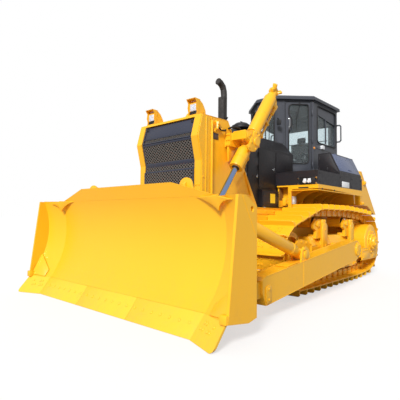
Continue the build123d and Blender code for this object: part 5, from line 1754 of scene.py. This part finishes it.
    def tilt_lines(self):
        """Steel lines from the ports down the cylinder to the arm."""
        way, lift = BRACE_TOP - BRACE_END, Vector((0, 0, 0.125))
        first, second = (BRACE_END + way * t + lift for t in PORTS_AT)
        runs = [tube([first - Vector((0, 0, 0.02)), first + Vector((-0.03, 0, 0.012)), (3.02, 1.485, 0.7),
                      (2.9, 1.47, 0.612)], 0.012, 0.03),
                tube([second - Vector((0, 0, 0.02)), second + Vector((-0.05, -0.03, 0)),
                      first + Vector((0, -0.035, 0.015)), (3.02, 1.515, 0.72), (2.88, 1.53, 0.614)], 0.012, 0.03)]
        return on_right(runs)


class DOZER_OT_crest(Piece, bpy.types.Operator):
    """Rounded bosses on the lugs behind the blade's crest"""
    bl_idname, bl_label = "dozer.crest", "Crest"

    def make(self, sizes):
        arc = [(0.9 + 0.095 * cos(a), 1.425 + 0.085 * sin(a)) for a in (radians(15 * i) for i in range(13))]
        hump = plate([*arc, (0.765, 1.33), (1.035, 1.33)], (4.612, 4.64), "x", edge=0.006)
        weld = tube([(4.74, -1.44, 1.302), (4.74, 1.44, 1.302)], 0.004)
        done([both_sides(hump), weld], "crest_bosses", body="blade")


# ---- rear ------------------------------------------------------------------------------------
TANK_FOOT, TANK_TOP, TANK_Y = (-0.79, 1.16), (0.02, 1.99), 1.15


def on_slope(part):
    """Lays a part on the tank's sloping back: x to the machine's right, y up the slope, z outward."""
    return set_in(part, (TANK_FOOT[0], 0, TANK_FOOT[1]), RIGHT,
                  (TANK_TOP[0] - TANK_FOOT[0], 0, TANK_TOP[1] - TANK_FOOT[1]))


class DOZER_OT_rear(Piece, bpy.types.Operator):
    """Tank panels, filler cap, steps, rear lamps and drawbar fittings"""
    bl_idname, bl_label = "dozer.rear", "Rear"

    def make(self, sizes):
        done(self.tank(), "tank_trim")
        done(on_slope(self.cap()), "tank_cap", "panels")
        pair(on_slope(box((0.93, 0.965, 0.052), (1.05, 1.055, 0.06), 0.003)), "rear_lamp_lenses", "lens")
        done(self.drawbar(), "drawbar_trim")
        done(on_slope(self.gauge()), "tank_gauge", "steel")

    def tank(self):
        """Raised panels, welds, rungs, lamp cases and mounting lugs."""
        panels = both_sides(on_slope(box((0.08, 0.09, -0.001), (0.86, 0.9, 0.006), 0.004)))
        rim = [on_slope(box((-1.15, y, -0.002), (1.15, y + 0.03, 0.01), 0.004)) for y in (0.012, 1.118)]
        sides = both_sides(on_slope(box((1.118, 0.04, -0.002), (1.15, 1.12, 0.01), 0.004)))
        steps = joined([on_slope(tube([(0.9, y, 0), (0.9, y, 0.075), (1.1, y, 0.075), (1.1, y, 0)], 0.011, 0.03))
                        for y in (0.16, 0.4, 0.64)])
        cases = both_sides(on_slope(box((0.915, 0.945, -0.001), (1.065, 1.075, 0.055), 0.01)))
        spots = [(x, y, 0.006) for x in (0.11, 0.83) for y in (0.12, 0.5, 0.87)]
        heads = both_sides(on_slope(bolts(spots, UP, 0.013)))
        lugs = [box((-0.165, TANK_Y - 0.002, 1.735), (-0.075, TANK_Y + 0.03, 1.815), 0.012),
                box((-0.045, TANK_Y - 0.002, 1.335), (0.07, TANK_Y + 0.034, 1.4), 0.012),
                bolts([(-0.12, TANK_Y + 0.03, 1.775), (0.012, TANK_Y + 0.034, 1.367)], LEFT, 0.018),
                tube([(0.016, TANK_Y - 0.001, 1.984), (-0.78, TANK_Y - 0.001, 1.166)], 0.005),
                tube([(0.08, TANK_Y - 0.001, 1.335), (0.08, TANK_Y - 0.001, 1.984)], 0.005)]
        eyes = turned([(0, 0.02), (0.03, 0.02), (0.036, 0.012)], (0.052, 0.8, 1.989), UP, 16)
        return [panels, *rim, sides, both_sides(steps), cases, heads, both_sides([*lugs, eyes])]

    def cap(self):
        """Filler neck and cap near the slope's head."""
        neck = turned([(0, 0.062), (0.02, 0.062), (0.022, 0.07), (0.046, 0.07), (0.056, 0.058)],
                      (-0.42, 0.995, -0.002), UP, 32)
        grip = box((-0.47, 0.987, 0.052), (-0.37, 1.003, 0.07), 0.006)
        vent = turned([(0, 0.02), (0.03, 0.02), (0.032, 0.032), (0.048, 0.032)], (0.42, 0.995, -0.002), UP, 20)
        return [neck, grip, vent]

    def gauge(self):
        """Sight gauge between the panels."""
        glass = bar((0, 0.3, 0.014), (0, 0.86, 0.014), 0.008, 12)
        ends = [box((-0.02, y, -0.001), (0.02, y + 0.035, 0.026), 0.006) for y in (0.28, 0.845)]
        return [glass, *ends]

    def drawbar(self):
        """Pin with its loop, lips, cheeks, gussets and bolts of the towing jaw."""
        pin = turned([(0, 0.0285), (0.02, 0.0285), (0.02, 0.048), (0.034, 0.048), (0.04, 0.04)], (-0.844, 0, 0.682),
                     UP, 24)
        loop = tube([(-0.844, y, z) for y, z in ((-0.025, 0.718), (-0.025, 0.775), (0.025, 0.775), (0.025, 0.718))],
                    0.007, 0.02)
        heads = bolts([(-0.372, y, z) for y in (-0.275, -0.19, 0.19, 0.275) for z in (0.56, 0.72, 0.88)], BACK, 0.02)
        lips = [box((-0.9, -0.132, z), (-0.38, 0.132, z + 0.012), 0.005) for z in (0.694, 0.554)]
        cheeks = [box((-0.86, y, 0.575), (-0.4, y + 0.012, 0.685), 0.005) for y in (-0.136, 0.124)]
        gussets = [plate([(-0.372, 0.7), (-0.56, 0.7), (-0.372, 0.92)], (y, y + 0.018), edge=0.004)
                   for y in (-0.12, 0.102)]
        return [pin, loop, heads, *lips, *cheeks, *gussets]


PIECES = [DOZER_OT_cad_finishes, DOZER_OT_tracks, DOZER_OT_blade_edge, DOZER_OT_blade_trim,
          DOZER_OT_nose, DOZER_OT_hood, DOZER_OT_lift, DOZER_OT_doors,
          DOZER_OT_cab, DOZER_OT_seat, DOZER_OT_base, DOZER_OT_undercarriage,
          DOZER_OT_arms, DOZER_OT_crest, DOZER_OT_rear]
CLASSES = [PaintSettings, SizeSettings, *PIECES, DOZER_OT_stage]


class DOZER_PT_panel(bpy.types.Panel):
    """Lists the pieces in the order in which they are made"""
    bl_label, bl_space_type, bl_region_type, bl_category = "Bulldozer", "VIEW_3D", "UI", "Bulldozer"

    def draw(self, context):
        column = self.layout.column(align=True)
        for kind in (*PIECES, DOZER_OT_stage):
            column.operator(kind.bl_idname)
        for group in (context.scene.dozer_paint, context.scene.dozer_sizes):
            for name in type(group).__annotations__:
                self.layout.prop(group, name)


def register():
    """Adds the settings, the operators and the panel."""
    for kind in (*CLASSES, DOZER_PT_panel):
        bpy.utils.register_class(kind)
    bpy.types.Scene.dozer_paint = bpy.props.PointerProperty(type=PaintSettings)
    bpy.types.Scene.dozer_sizes = bpy.props.PointerProperty(type=SizeSettings)


def unregister():
    """Takes them out again, last first."""
    del bpy.types.Scene.dozer_paint, bpy.types.Scene.dozer_sizes
    for kind in reversed((*CLASSES, DOZER_PT_panel)):
        bpy.utils.unregister_class(kind)


def main():
    """Registers the add-on and calls every operator."""
    register()
    bpy.ops.object.select_all(action="DESELECT")
    for kind in (*PIECES, DOZER_OT_stage):
        getattr(bpy.ops.dozer, kind.bl_idname.split(".")[1])()


if __name__ == "__main__":
    main()
